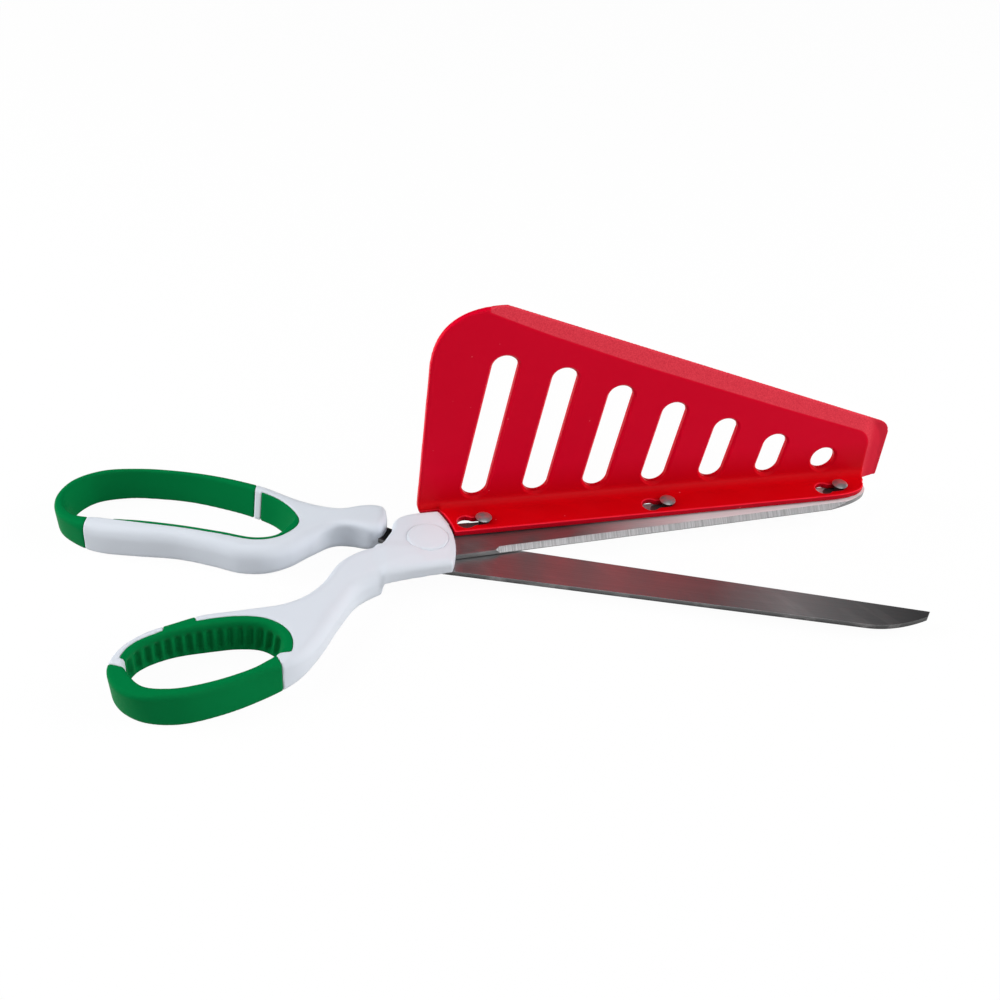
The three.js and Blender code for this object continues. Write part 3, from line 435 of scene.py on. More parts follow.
def brushing_group():
    """Fine grinding lines along and across a turned blade, stray scratches, and the place along it."""
    tree, given, result = new_group(
        "brushing", [("Turn", "NodeSocketVector", (0, 0, 0)), ("Fineness", "NodeSocketFloat", 2600.0)],
        [(label, "NodeSocketFloat") for label in ("Lines", "Cross Lines", "Scratches", "Along")])
    place = add_node(tree, "ShaderNodeTexCoord")
    lay = add_node(tree, "ShaderNodeMapping")
    wire(tree, place.outputs["Object"], lay.inputs["Vector"])
    wire(tree, given.outputs["Turn"], lay.inputs["Rotation"])
    fine = given.outputs["Fineness"]
    slanted = add_node(tree, "ShaderNodeMapping")
    slanted.inputs["Rotation"].default_value = (0, 0, math.radians(38))
    wire(tree, lay.outputs["Vector"], slanted.inputs["Vector"])
    kinds = (("Lines", lay, (14.0, fine, fine)), ("Cross Lines", lay, (fine, 60.0, 60.0)),
             ("Scratches", slanted, (35.0, 190.0, 190.0)))
    for label, source, spread in kinds:
        stretch = add_node(tree, "ShaderNodeVectorMath", operation="MULTIPLY")
        wire(tree, source.outputs["Vector"], stretch.inputs[0])
        wire(tree, vector(tree, *spread), stretch.inputs[1])
        noise = add_node(tree, "ShaderNodeTexNoise")
        set_inputs(noise, Scale=1.0, Detail=4.0, Roughness=0.6)
        wire(tree, stretch.outputs["Vector"], noise.inputs["Vector"])
        wire(tree, noise.outputs["Fac"], result.inputs[label])
    wire(tree, split(tree, lay.outputs["Vector"])["X"], result.inputs["Along"])
    return tree


def fill_ramp(ramp, stops):
    """Grey ramp from (place, grey, alpha) stops."""
    while len(ramp.color_ramp.elements) < len(stops):
        ramp.color_ramp.elements.new(0.5)
    for element, (at, grey, alpha) in zip(ramp.color_ramp.elements, stops):
        element.position, element.color = at, (grey, grey, grey * 1.02, alpha)


def mixed(tree, factor, a, b, kind="RGBA"):
    """Blend of two colours or values, each a socket or a constant."""
    made = add_node(tree, "ShaderNodeMix", data_type=kind)
    ends = [socket for socket in made.inputs if socket.enabled]
    for socket, value in zip(ends, (factor, a, b)):
        if isinstance(value, bpy.types.NodeSocket):
            wire(tree, value, socket)
        else:
            socket.default_value = value
    return next(socket for socket in made.outputs if socket.enabled)


def stepped(tree, value, low, high):
    """Zero below a level, one above another, and even in between."""
    made = add_node(tree, "ShaderNodeMapRange")
    set_inputs(made, From_Min=low, From_Max=high)
    wire(tree, value, made.inputs["Value"])
    return made.outputs["Result"]


MOULDED_GRAIN = moulded_grain_group()
BRUSHING = brushing_group()


def moulded(name, light, shade, roughness, grain_scale, grain_depth, **shader_values):
    made, tree, shader = new_material(name, **shader_values)
    look = add_node(tree, "ShaderNodeGroup", node_tree=MOULDED_GRAIN)
    set_inputs(look, Grain_Scale=grain_scale, Light=(*light, 1), Shade=(*shade, 1))
    wire(tree, look.outputs["Color"], shader.inputs["Base Color"])
    wire(tree, ranged(tree, look.outputs["Grain"], *roughness), shader.inputs["Roughness"])
    bumped(tree, look.outputs["Grain"], shader, 0.35, grain_depth)
    return made


def white_plastic():
    return moulded("white_plastic", (0.73, 0.775, 0.835), (0.69, 0.735, 0.805), (0.34, 0.42), 900.0,
                   0.000003, Specular_IOR_Level=0.4)


def green_grip():
    return moulded("green_grip", (0.0006, 0.2, 0.054), (0.0003, 0.165, 0.042), (0.45, 0.6), 1600.0, 0.00002,
                   Specular_IOR_Level=0.04)


def red_plastic():
    """Deep red sheet with specks, rougher and paler on its strip, that paleness partly its ground finish and
    partly painted light from above; on the flange painted shade darkens the front face and top, and a
    painted highlight runs along its front rim.
    """
    made, tree, shader = new_material("red_plastic", Specular_IOR_Level=0.06)
    look = add_node(tree, "ShaderNodeGroup", node_tree=MOULDED_GRAIN)
    set_inputs(look, Grain_Scale=2200.0, Light=(0.8, 0.001, 0.026, 1), Shade=(0.75, 0.0005, 0.02, 1))
    place = add_node(tree, "ShaderNodeTexCoord")
    height = split(tree, place.outputs["Object"])["Z"]
    flange_high = PIVOT_HEIGHT + FLANGE_HIGH
    # Painted shade and highlight on the flange: its front face and top are darker than the plate, with a
    # pale painted highlight band along its front rim.
    raised = stepped(tree, height, (flange_high + 1) * MM, (flange_high + 15) * MM)
    rim = stepped(tree, height, (flange_high - 0.55) * MM, (flange_high - 0.35) * MM)
    top = stepped(tree, height, (flange_high - 0.2) * MM, (flange_high - 0.04) * MM)
    foot = mixed(tree, rim, (0.5, 0.001, 0.012, 1), (0.92, 0.02, 0.045, 1))
    foot = mixed(tree, top, foot, (0.6, 0.0005, 0.004, 1))
    sheet = mixed(tree, raised, foot, look.outputs["Color"])
    dust = add_node(tree, "ShaderNodeTexVoronoi")
    set_inputs(dust, Scale=150.0)
    wire(tree, place.outputs["Object"], dust.inputs["Vector"])
    speck = maths(tree, "LESS_THAN", dust.outputs["Distance"], 0.04)
    sheet = mixed(tree, maths(tree, "MULTIPLY", speck, 0.5), sheet, (0.95, 0.15, 0.17, 1))
    strip = add_node(tree, "ShaderNodeAttribute", attribute_name="strip").outputs["Fac"]
    strip = stepped(tree, strip, -0.05, 0.25)
    grain = stepped(tree, look.outputs["Grain"], 0.3, 0.7)
    # The strip is paler partly for its rough ground finish and partly as painted light falling from above.
    pale = mixed(tree, grain, (0.72, 0.03, 0.055, 1), (0.9, 0.065, 0.095, 1))
    tip = add_node(tree, "ShaderNodeAttribute", attribute_name="tip").outputs["Fac"]
    pale = mixed(tree, tip, pale, (0.7, 0.02, 0.045, 1))
    wire(tree, mixed(tree, strip, sheet, pale), shader.inputs["Base Color"])
    rough = ranged(tree, look.outputs["Grain"], 0.3, 0.42)
    rough = maths(tree, "ADD", rough, maths(tree, "MULTIPLY", strip, 0.3))
    wire(tree, rough, shader.inputs["Roughness"])
    depth = maths(tree, "MULTIPLY", look.outputs["Grain"], maths(tree, "ADD", strip, 0.4))
    bumped(tree, depth, shader, 0.4, 0.00004)
    return made


def steel(name, turn, tones, flank_tone, ground_tone, roughness, fineness=2600.0):
    """Steel with grinding lines; tones are (place along the blade, grey, share of scattered light), which
    paint the reflections and shade seen along the blade, and faces marked for painted shade take one dark
    tone.
    """
    made, tree, shader = new_material(name, Specular_IOR_Level=0.2)
    look = add_node(tree, "ShaderNodeGroup", node_tree=BRUSHING)
    look.inputs["Turn"].default_value = (0, 0, math.radians(-turn))
    look.inputs["Fineness"].default_value = fineness
    ramp = add_node(tree, "ShaderNodeValToRGB")
    fill_ramp(ramp, [(at / BLADE_REACH, grey, scatter) for at, grey, scatter in tones])
    wire(tree, maths(tree, "DIVIDE", look.outputs["Along"], BLADE_REACH * MM), ramp.inputs["Fac"])
    ground = add_node(tree, "ShaderNodeAttribute", attribute_name="ground").outputs["Fac"]
    flank = add_node(tree, "ShaderNodeAttribute", attribute_name="flank").outputs["Fac"]
    lines = mixed(tree, ground, look.outputs["Lines"], look.outputs["Cross Lines"], "FLOAT")
    tone = mixed(tree, ground, ramp.outputs["Color"], (ground_tone, ground_tone, ground_tone * 1.02, 1))
    # Painted shade: the marked faces take one dark tone.
    tone = mixed(tree, flank, tone, (flank_tone, flank_tone, flank_tone, 1))
    contrast = mixed(tree, ground, 0.16, 0.5, "FLOAT")
    darker = maths(tree, "MULTIPLY", stepped(tree, lines, 0.3, 0.7), contrast)
    shade = mixed(tree, darker, tone, (0, 0, 0, 1))
    worn = maths(tree, "MULTIPLY", stepped(tree, look.outputs["Scratches"], 0.5, 0.75), 0.22)
    wire(tree, mixed(tree, worn, shade, (0.7, 0.66, 0.66, 1)), shader.inputs["Base Color"])
    scatter = mixed(tree, ground, ramp.outputs["Alpha"], 0.6, "FLOAT")
    scatter = mixed(tree, flank, scatter, flank_tone, "FLOAT")
    wire(tree, maths(tree, "SUBTRACT", 1.0, scatter), shader.inputs["Metallic"])
    wire(tree, ranged(tree, lines, *roughness), shader.inputs["Roughness"])
    bumped(tree, lines, shader, 0.2, 0.000001)
    return made


# Handles


def grid(low, high, step):
    return np.arange(low, high + step, step)


def bar(outside, z, top, under, high=HANDLE_HALF, lean=0):
    """Field of a bar of the handles' height; top and under give width and rise of its rounded edges,
    and its wall leans in by lean at the foot."""
    upright = z[None, None, :]
    deep = [np.broadcast_to(value, outside.shape)[:, :, None] for value in (*top, *under, high, lean)]
    outside = outside[:, :, None] + deep[5] * (HANDLE_HALF - upright) / (2 * HANDLE_HALF)
    return np.maximum(rounded_edge(outside, upright - deep[4], deep[0], deep[1]),
                      rounded_edge(outside, -upright - HANDLE_HALF, deep[2], deep[3]))


def finger_half_skins():
    x, y, z = grid(-127, -12, 0.42), grid(-21, 22, 0.42), grid(-6.4, 6.4, 0.42)
    px, py = np.meshgrid(x, y, indexing="ij")
    outside = outline_field(smooth_loop(FINGER_OUTLINE), x, y)
    hole = outline_field(smooth_loop(FINGER_HOLE), x, y)
    neck = smoothstep(px, -62, -40) * (1 - 0.35 * smoothstep(px, -26, -19))
    near = smoothstep(-py, 2, 12) * (1 - neck) * smoothstep(px, -115, -107)
    end = smoothstep(-px, 104, 122)
    body = bar(outside, z, (1.7 + 2.7 * neck + 2.1 * near, 2 + 2.8 * neck + 2.6 * near),
               (1.2 + 1.4 * neck + 0.5 * end, 1.6 + 1.4 * neck + 0.6 * end), lean=0.9 * end)
    hollow = np.linalg.norm(np.stack(np.broadcast_arrays(
        (px[:, :, None] + 26) * 0.8, py[:, :, None] + 5.2, z[None, None, :])), axis=0) - 8
    body = soft_max(body, -hollow, 1.6)
    funnel = 2.8 * np.maximum(smoothstep(py, -4, 4), smoothstep(-px, 103, 121))
    body = soft_max(body, bar(funnel - hole, z, (1, 1.1), (0.9, 1.1), lean=-funnel), 0.5)
    cover = outline_field(FINGER_COVER_AREA, x, y)
    depth = FINGER_LINER_SIDE + (FINGER_LINER_DEPTH - FINGER_LINER_SIDE) * smoothstep(py, -10.6, 0)
    depth = depth * (0.25 + 0.75 * smoothstep(px, -107, -90))
    liner = np.maximum(hole - depth, outline_field(FINGER_LINER_AREA, x, y))
    core = soft_max(body, (COVER_GAP - cover)[:, :, None], 0.3)
    core = soft_max(core, (COVER_GAP - liner)[:, :, None], 0.3)
    axes = (x, y, z)
    return {
        "finger_handle_core": skin(core, axes),
        "finger_outer_cover": skin(soft_max(body, cover[:, :, None], 0.3), axes),
        "finger_inner_liner": skin(soft_max(body, liner[:, :, None], 0.3), axes),
    }


def hub_outline(grown=0):
    def angle(offset):
        return math.degrees(math.asin((offset - HUB_NOSE_SHIFT) / HUB_NOSE_RADIUS))
    rear, far = -HUB_REAR - grown, HUB_FAR + grown
    centre = HUB_NOSE - HUB_NOSE_RADIUS
    points = arc(centre, HUB_NOSE_SHIFT, HUB_NOSE_RADIUS + grown, angle(-HUB_NEAR), angle(far))
    points += bent((0, far), (rear, far), (rear, HUB_FAR / 2))
    return points + [(rear - HUB_SLANT, 0), (-STEP_REACH, 0), (-STEP_REACH, -HUB_NEAR - 1.5)]


def edge_at(x, edge):
    return edge[0] + (edge[1] - edge[0]) * x / BLADE_REACH


def upper_blade_outline():
    start = UPPER_REACH - ROUND_END
    heel = (-HEEL_REACH, -edge_at(-HEEL_REACH, UPPER_EDGE))
    points = [heel]
    points += bent((start, -edge_at(start, UPPER_EDGE)), (UPPER_REACH, ROUND_END_TURN),
                   (UPPER_REACH, BACK_OFFSET))
    points += bent((UPPER_REACH - SPINE_END_MARGIN, MIDDLE_BACK), (SPINE_TURN, MIDDLE_BACK),
                   (SPINE_START, BACK_OFFSET))
    return points + bent((0, BACK_OFFSET), (-HEEL_REACH, BACK_OFFSET), heel)[:-1]


def lower_blade_outline():
    start = BLADE_REACH - POINT_CURVE
    heel = (-HEEL_REACH, edge_at(-HEEL_REACH, LOWER_EDGE))
    points = bent(heel, (-HEEL_REACH, -BACK_OFFSET), (0, -BACK_OFFSET))
    points += bent((start, -BACK_OFFSET), (start + POINT_BELLY, -BACK_OFFSET),
                   (BLADE_REACH - POINT_RAKE, LOWER_EDGE[1] - POINT_BLUNT))
    return points + [(BLADE_REACH, LOWER_EDGE[1])]


def thumb_fields(x, y, z):
    """Fields of the whole thumb handle without its hub, of its cover's area and of its liner's room."""
    px, py = np.meshgrid(x, y, indexing="ij")
    outside = outline_field(smooth_loop(THUMB_OUTLINE), x, y)
    hole = outline_field(smooth_loop(THUMB_HOLE), x, y)
    neck = smoothstep(px, -60, -40)
    end = smoothstep(-px, 86, 103)
    high = HANDLE_HALF - (HANDLE_HALF - HUB_HIGH) * smoothstep(px, -37, -17)
    splay = 2.2 * smoothstep(-py, 46, 55) * (1 - neck) * (1 - end)
    top = 1.5 + 3.1 * neck, 1.7 + 3.1 * neck
    under = 1.1 + 1.1 * neck, 1.3 + 1.5 * neck
    body = bar(outside + splay, z, top, under, high, 0.9 * end - splay)
    funnel = smoothstep(py, -49, -41)
    mouth = 1.4
    foot = 1.6 * smoothstep(-px, 70, 92) - 0.6
    wall = bar(mouth * funnel - hole, z, (1.3, 1.5), (0.7, 0.9), lean=(foot - mouth) * funnel)
    body = soft_max(body, wall, 0.5)
    cover = outline_field(THUMB_COVER_AREA, x, y)[:, :, None]
    depth = THUMB_LINER_DEPTH - 0.7 * smoothstep(-px, 80, 90)
    liner = np.maximum(hole - depth, outline_field(THUMB_LINER_AREA, x, y))[:, :, None]
    tab = outline_field(THUMB_TAB_AREA, x, y)[:, :, None]
    tab = np.maximum(tab, HANDLE_HALF - TAB_DEPTH - z[None, None, :])
    return body, cover, np.minimum(liner, tab)


def thumb_half_skins():
    x, y, z = grid(-107, 11, 0.42), grid(-63, 17, 0.42), grid(-6.4, 6.4, 0.42)
    px, py = (g[:, :, None] for g in np.meshgrid(x, y, indexing="ij"))
    tall = z[None, None, :]
    body, cover, lined = thumb_fields(x, y, z)
    hub = outline_field(hub_outline(), x, y)[:, :, None]
    hub = np.maximum(rounded_edge(hub, tall - HUB_HIGH, 2.4, 2.2), BLADE_LOW - tall)
    core = soft_min(body, hub, 2.5)
    from_pivot = np.hypot(px, py)
    below_blades = np.maximum(-STEP_REACH - px - 0.16 * (BLADE_LOW - tall), tall - BLADE_LOW)
    blade = outline_field(upper_blade_outline(), x, y)[:, :, None]
    blade = np.maximum(blade - BLADE_ROOM, tall - BLADE_HIGH - BLADE_ROOM)
    seat = np.maximum(from_pivot - CAP_RADIUS + 0.3, CAP_LOW - 0.2 - tall)
    for cutter, soft in ((cover, 0.3), (lined, 0.3), (below_blades, 0.5), (blade, 0.05),
                         (seat, 0.1), (from_pivot - WELL_RADIUS, 0.05)):
        core = soft_max(core, COVER_GAP - cutter, soft)
    axes = (x, y, z)
    fine = grid(-101, -48, 0.28), grid(-57, -22, 0.28), grid(-6.2, 6.2, 0.28)
    fine_body, _, fine_lined = thumb_fields(*fine)
    return {
        "thumb_handle_core": skin(core, axes),
        "thumb_outer_cover": skin(soft_max(body, cover, 0.3), axes),
        "thumb_inner_liner": skin(soft_max(fine_body, fine_lined, 0.3), fine),
    }


# Round pieces


def turned(name, profile, steps=64):
    """Round piece on the pivot's axis from (radius, height) pairs that run outwards, up and in again."""
    rings, corners, faces = {}, [], []
    for r, h in profile:
        if (r, h) not in rings:
            angles = 2 * math.pi * np.arange(steps if r else 1) / steps
            rings[r, h] = [len(corners) + k % len(angles) for k in range(steps)]
            corners += [(r * math.cos(a) * MM, r * math.sin(a) * MM, h * MM) for a in angles]
    for lower, upper in zip(profile, profile[1:]):
        a, b = rings[lower], rings[upper]
        for k in range(steps):
            after = (k + 1) % steps
            faces.append(tuple(dict.fromkeys((a[k], a[after], b[after], b[k]))))
    return mesh_object(name, corners, faces)


def lifted(made, x=0, y=0):
    made.data.transform(Matrix.Translation((x * MM, y * MM, PIVOT_HEIGHT * MM)))
    return made


def pivot_cap():
    foot = HUB_HIGH - 0.1
    rim_round = [(CAP_RADIUS - CAP_RIM * (1 - math.cos(a)), foot + (CAP_HIGH - 0.14 - foot) * math.sin(a))
                 for a in np.linspace(0, math.pi / 2, 12)]
    crown = [(r, CAP_HIGH - 0.22 * (r / CAP_RADIUS) ** 2) for r in (4.4, 3, 1.5)]
    plug = [(PLUG_BORE, CAP_LOW), (PLUG_BORE, PLUG_LOW), (PLUG_RADIUS, PLUG_LOW), (PLUG_RADIUS, CAP_LOW)]
    profile = [(0, CAP_LOW)] + plug + [(CAP_RADIUS, CAP_LOW)] + rim_round + crown + [(0, CAP_HIGH)]
    return shade_smooth(lifted(turned("pivot_cap_disc", profile, 96)))


def pivot_post():
    low = -PIVOT_HEIGHT
    head = [(0, low), (4.9, low), (5.3, low + 0.15), (POST_HEAD, low + 0.6), (POST_HEAD, POST_HEAD_HIGH)]
    profile = head + [(POST_RADIUS, POST_HEAD_HIGH), (POST_RADIUS, POST_HIGH), (0, POST_HIGH)]
    return shade_smooth(lifted(turned("pivot_post_head", profile)))


def pivot_washer():
    lower = [(WASHER_BORE, WASHER_LOW), (WASHER_RADIUS, WASHER_LOW)]
    profile = lower + [(WASHER_RADIUS, WASHER_HIGH), (WASHER_BORE, WASHER_HIGH), lower[0]]
    return shade_smooth(lifted(turned("pivot_washer_ring", profile)))


def stud():
    """One stud: tenon, shank and a domed head."""
    head_low = FLANGE_HIGH + STUD_STAND
    head_high = head_low + STUD_DOME
    shank, rim, rim_rise = STUD_SHANK / 2, STUD_HEAD / 2, 0.15
    profile = [(0, TENON_LOW), (TENON_RADIUS, TENON_LOW), (TENON_RADIUS, TENON_HIGH), (shank, TENON_HIGH)]
    profile += [(shank, head_low), (rim - 0.2, head_low), (rim, head_low + rim_rise)]
    dome = STUD_DOME - rim_rise
    profile += [(r, head_high - dome * (r / rim) ** 2.2) for r in np.linspace(rim, 0, 14)[1:-1]]
    made = turned("stud_pattern", profile + [(0, head_high)], 48)
    # Painted shade on the shank and the underside of the head.
    marked(made, "flank", lambda face, corner: face.normal.z < 0.2)
    return made


# Geometry Nodes


def new_tree(name, inputs):
    tree = bpy.data.node_groups.new(name, "GeometryNodeTree")
    tree.interface.new_socket("Geometry", in_out="INPUT", socket_type="NodeSocketGeometry")
    tree.interface.new_socket("Geometry", in_out="OUTPUT", socket_type="NodeSocketGeometry")
    for label, kind in inputs:
        tree.interface.new_socket(label, in_out="INPUT", socket_type=kind)
    return tree, tree.nodes.new("NodeGroupInput"), tree.nodes.new("NodeGroupOutput")


def run_tree(made, tree, **values):
    """Runs a tree on an object with its inputs set, and keeps the plain mesh."""
    modifier = made.modifiers.new(tree.name, "NODES")
    modifier.node_group = tree
    for item in tree.interface.items_tree:
        if item.in_out == "INPUT" and item.socket_type != "NodeSocketGeometry":
            modifier[item.identifier] = values[item.name.replace(" ", "_").lower()]
    return applied(made)


def finish_tree(tree, given, result, geometry):
    """Ends a tree in plain mesh with its material."""
    real = add_node(tree, "GeometryNodeRealizeInstances")
    coat = add_node(tree, "GeometryNodeSetMaterial")
    wire(tree, geometry, real.inputs["Geometry"])
    wire(tree, real.outputs["Geometry"], coat.inputs["Geometry"])
    wire(tree, given.outputs["Material"], coat.inputs["Material"])
    wire(tree, coat.outputs["Geometry"], result.inputs["Geometry"])


def stud_row_tree():
    """Sets one stud at each of a row of even places along the blade."""
    tree, given, result = new_tree("stud_row", [
        ("Count", "NodeSocketInt"), ("First", "NodeSocketFloat"), ("Pitch", "NodeSocketFloat"),
        ("Offset", "NodeSocketFloat"), ("Material", "NodeSocketMaterial")])
    line = add_node(tree, "GeometryNodeMeshLine")
    wire(tree, given.outputs["Count"], line.inputs["Count"])
    wire(tree, vector(tree, given.outputs["First"], given.outputs["Offset"]), line.inputs["Start Location"])
    wire(tree, vector(tree, given.outputs["Pitch"]), line.inputs["Offset"])
    set_on = add_node(tree, "GeometryNodeInstanceOnPoints")
    wire(tree, line.outputs["Mesh"], set_on.inputs["Points"])
    wire(tree, given.outputs["Geometry"], set_on.inputs["Instance"])
    finish_tree(tree, given, result, set_on.outputs["Instances"])
    return tree


def drain_slot_tree():
    """Cuts a row of leaning round-ended slots, each as tall as the sloping edge leaves room for."""
    tree, given, result = new_tree("drain_slots", [
        ("Count", "NodeSocketInt"), ("First", "NodeSocketFloat"), ("Pitch", "NodeSocketFloat"),
        ("Foot", "NodeSocketFloat"), ("Width", "NodeSocketFloat"), ("Lean", "NodeSocketFloat"),
        ("Top", "NodeSocketFloat"), ("Slope Start", "NodeSocketFloat"), ("Fall", "NodeSocketFloat"),
        ("Front", "NodeSocketFloat"), ("Wall", "NodeSocketFloat"), ("Flare", "NodeSocketFloat"),
        ("Material", "NodeSocketMaterial")])
    half = maths(tree, "MULTIPLY", given.outputs["Width"], 0.5)
    low = maths(tree, "ADD", given.outputs["Foot"], half)
    row = add_node(tree, "GeometryNodeMeshLine")
    wire(tree, given.outputs["Count"], row.inputs["Count"])
    behind = maths(tree, "ADD", maths(tree, "ADD", given.outputs["Front"], given.outputs["Wall"]), MM)
    wire(tree, vector(tree, given.outputs["First"], behind, low), row.inputs["Start Location"])
    wire(tree, vector(tree, given.outputs["Pitch"]), row.inputs["Offset"])
    place = add_node(tree, "GeometryNodeInputPosition")
    foot = add_node(tree, "GeometryNodeCaptureAttribute", domain="POINT")
    foot.capture_items.new("VECTOR", "Foot")
    wire(tree, row.outputs["Mesh"], foot.inputs["Geometry"])
    wire(tree, place.outputs["Position"], foot.inputs["Foot"])
    ring = add_node(tree, "GeometryNodeMeshCircle", fill_type="NGON")
    ring.inputs["Vertices"].default_value = 48
    wire(tree, half, ring.inputs["Radius"])
    stood = add_node(tree, "GeometryNodeTransform")
    stood.inputs["Rotation"].default_value = (math.pi / 2, math.pi / 48, 0)
    wire(tree, ring.outputs["Mesh"], stood.inputs["Geometry"])
    radial = add_node(tree, "GeometryNodeCaptureAttribute", domain="POINT")
    radial.capture_items.new("VECTOR", "Radial")
    wire(tree, stood.outputs["Geometry"], radial.inputs["Geometry"])
    wire(tree, place.outputs["Position"], radial.inputs["Radial"])
    set_on = add_node(tree, "GeometryNodeInstanceOnPoints")
    wire(tree, foot.outputs["Geometry"], set_on.inputs["Points"])
    wire(tree, radial.outputs["Geometry"], set_on.inputs["Instance"])
    real = add_node(tree, "GeometryNodeRealizeInstances")
    wire(tree, set_on.outputs["Instances"], real.inputs["Geometry"])

    along = split(tree, foot.outputs["Foot"])["X"]
    past = maths(tree, "MAXIMUM", maths(tree, "SUBTRACT", along, given.outputs["Slope Start"]), 0.0)
    drop = maths(tree, "MULTIPLY", past, given.outputs["Fall"])
    height = maths(tree, "SUBTRACT", given.outputs["Top"], drop)
    rise = maths(tree, "SUBTRACT", maths(tree, "SUBTRACT", height, half), low)
    rise = maths(tree, "MAXIMUM", rise, 0.00025)
    stretch = add_node(tree, "GeometryNodeSetPosition")
    upper = maths(tree, "GREATER_THAN", split(tree, radial.outputs["Radial"])["Z"], 0.0)
    wire(tree, real.outputs["Geometry"], stretch.inputs["Geometry"])
    wire(tree, upper, stretch.inputs["Selection"])
    aside = maths(tree, "MULTIPLY", rise, given.outputs["Lean"])
    wire(tree, vector(tree, aside, 0.0, rise), stretch.inputs["Offset"])

    through = add_node(tree, "GeometryNodeExtrudeMesh", mode="FACES")
    through.inputs["Individual"].default_value = False
    depth = maths(tree, "ADD", given.outputs["Wall"], MM)
    depth = maths(tree, "SUBTRACT", depth, given.outputs["Flare"])
    wire(tree, stretch.outputs["Geometry"], through.inputs["Mesh"])
    wire(tree, vector(tree, 0.0, -1.0, 0.0), through.inputs["Offset"])
    wire(tree, depth, through.inputs["Offset Scale"])
    mouth = add_node(tree, "GeometryNodeExtrudeMesh", mode="FACES")
    mouth.inputs["Individual"].default_value = False
    wire(tree, through.outputs["Mesh"], mouth.inputs["Mesh"])
    wire(tree, through.outputs["Top"], mouth.inputs["Selection"])
    wire(tree, vector(tree, 0.0, -1.0, 0.0), mouth.inputs["Offset"])
    wire(tree, maths(tree, "MULTIPLY", given.outputs["Flare"], 2.0), mouth.inputs["Offset Scale"])
    flared = add_node(tree, "GeometryNodeSetPosition")
    outward = add_node(tree, "ShaderNodeVectorMath", operation="NORMALIZE")
    wire(tree, radial.outputs["Radial"], outward.inputs["Vector"])
    spread = add_node(tree, "ShaderNodeVectorMath", operation="SCALE")
    wire(tree, outward.outputs["Vector"], spread.inputs["Vector"])
    wire(tree, maths(tree, "MULTIPLY", given.outputs["Flare"], 2.0), spread.inputs["Scale"])
    wire(tree, mouth.outputs["Mesh"], flared.inputs["Geometry"])
    wire(tree, mouth.outputs["Top"], flared.inputs["Selection"])
    wire(tree, spread.outputs["Vector"], flared.inputs["Offset"])

    back = add_node(tree, "GeometryNodeFlipFaces")
    wire(tree, stretch.outputs["Geometry"], back.inputs["Mesh"])
    joined = add_node(tree, "GeometryNodeJoinGeometry")
    wire(tree, flared.outputs["Geometry"], joined.inputs["Geometry"])
    wire(tree, back.outputs["Mesh"], joined.inputs["Geometry"])
    merged = add_node(tree, "GeometryNodeMergeByDistance")
    merged.inputs["Distance"].default_value = 0.000001
    wire(tree, joined.outputs["Geometry"], merged.inputs["Geometry"])
    cut = add_node(tree, "GeometryNodeMeshBoolean", operation="DIFFERENCE", solver="MANIFOLD")
    wire(tree, given.outputs["Geometry"], cut.inputs["Mesh 1"])
    wire(tree, merged.outputs["Geometry"], cut.inputs["Mesh 2"])
    finish_tree(tree, given, result, cut.outputs["Mesh"])
    return tree


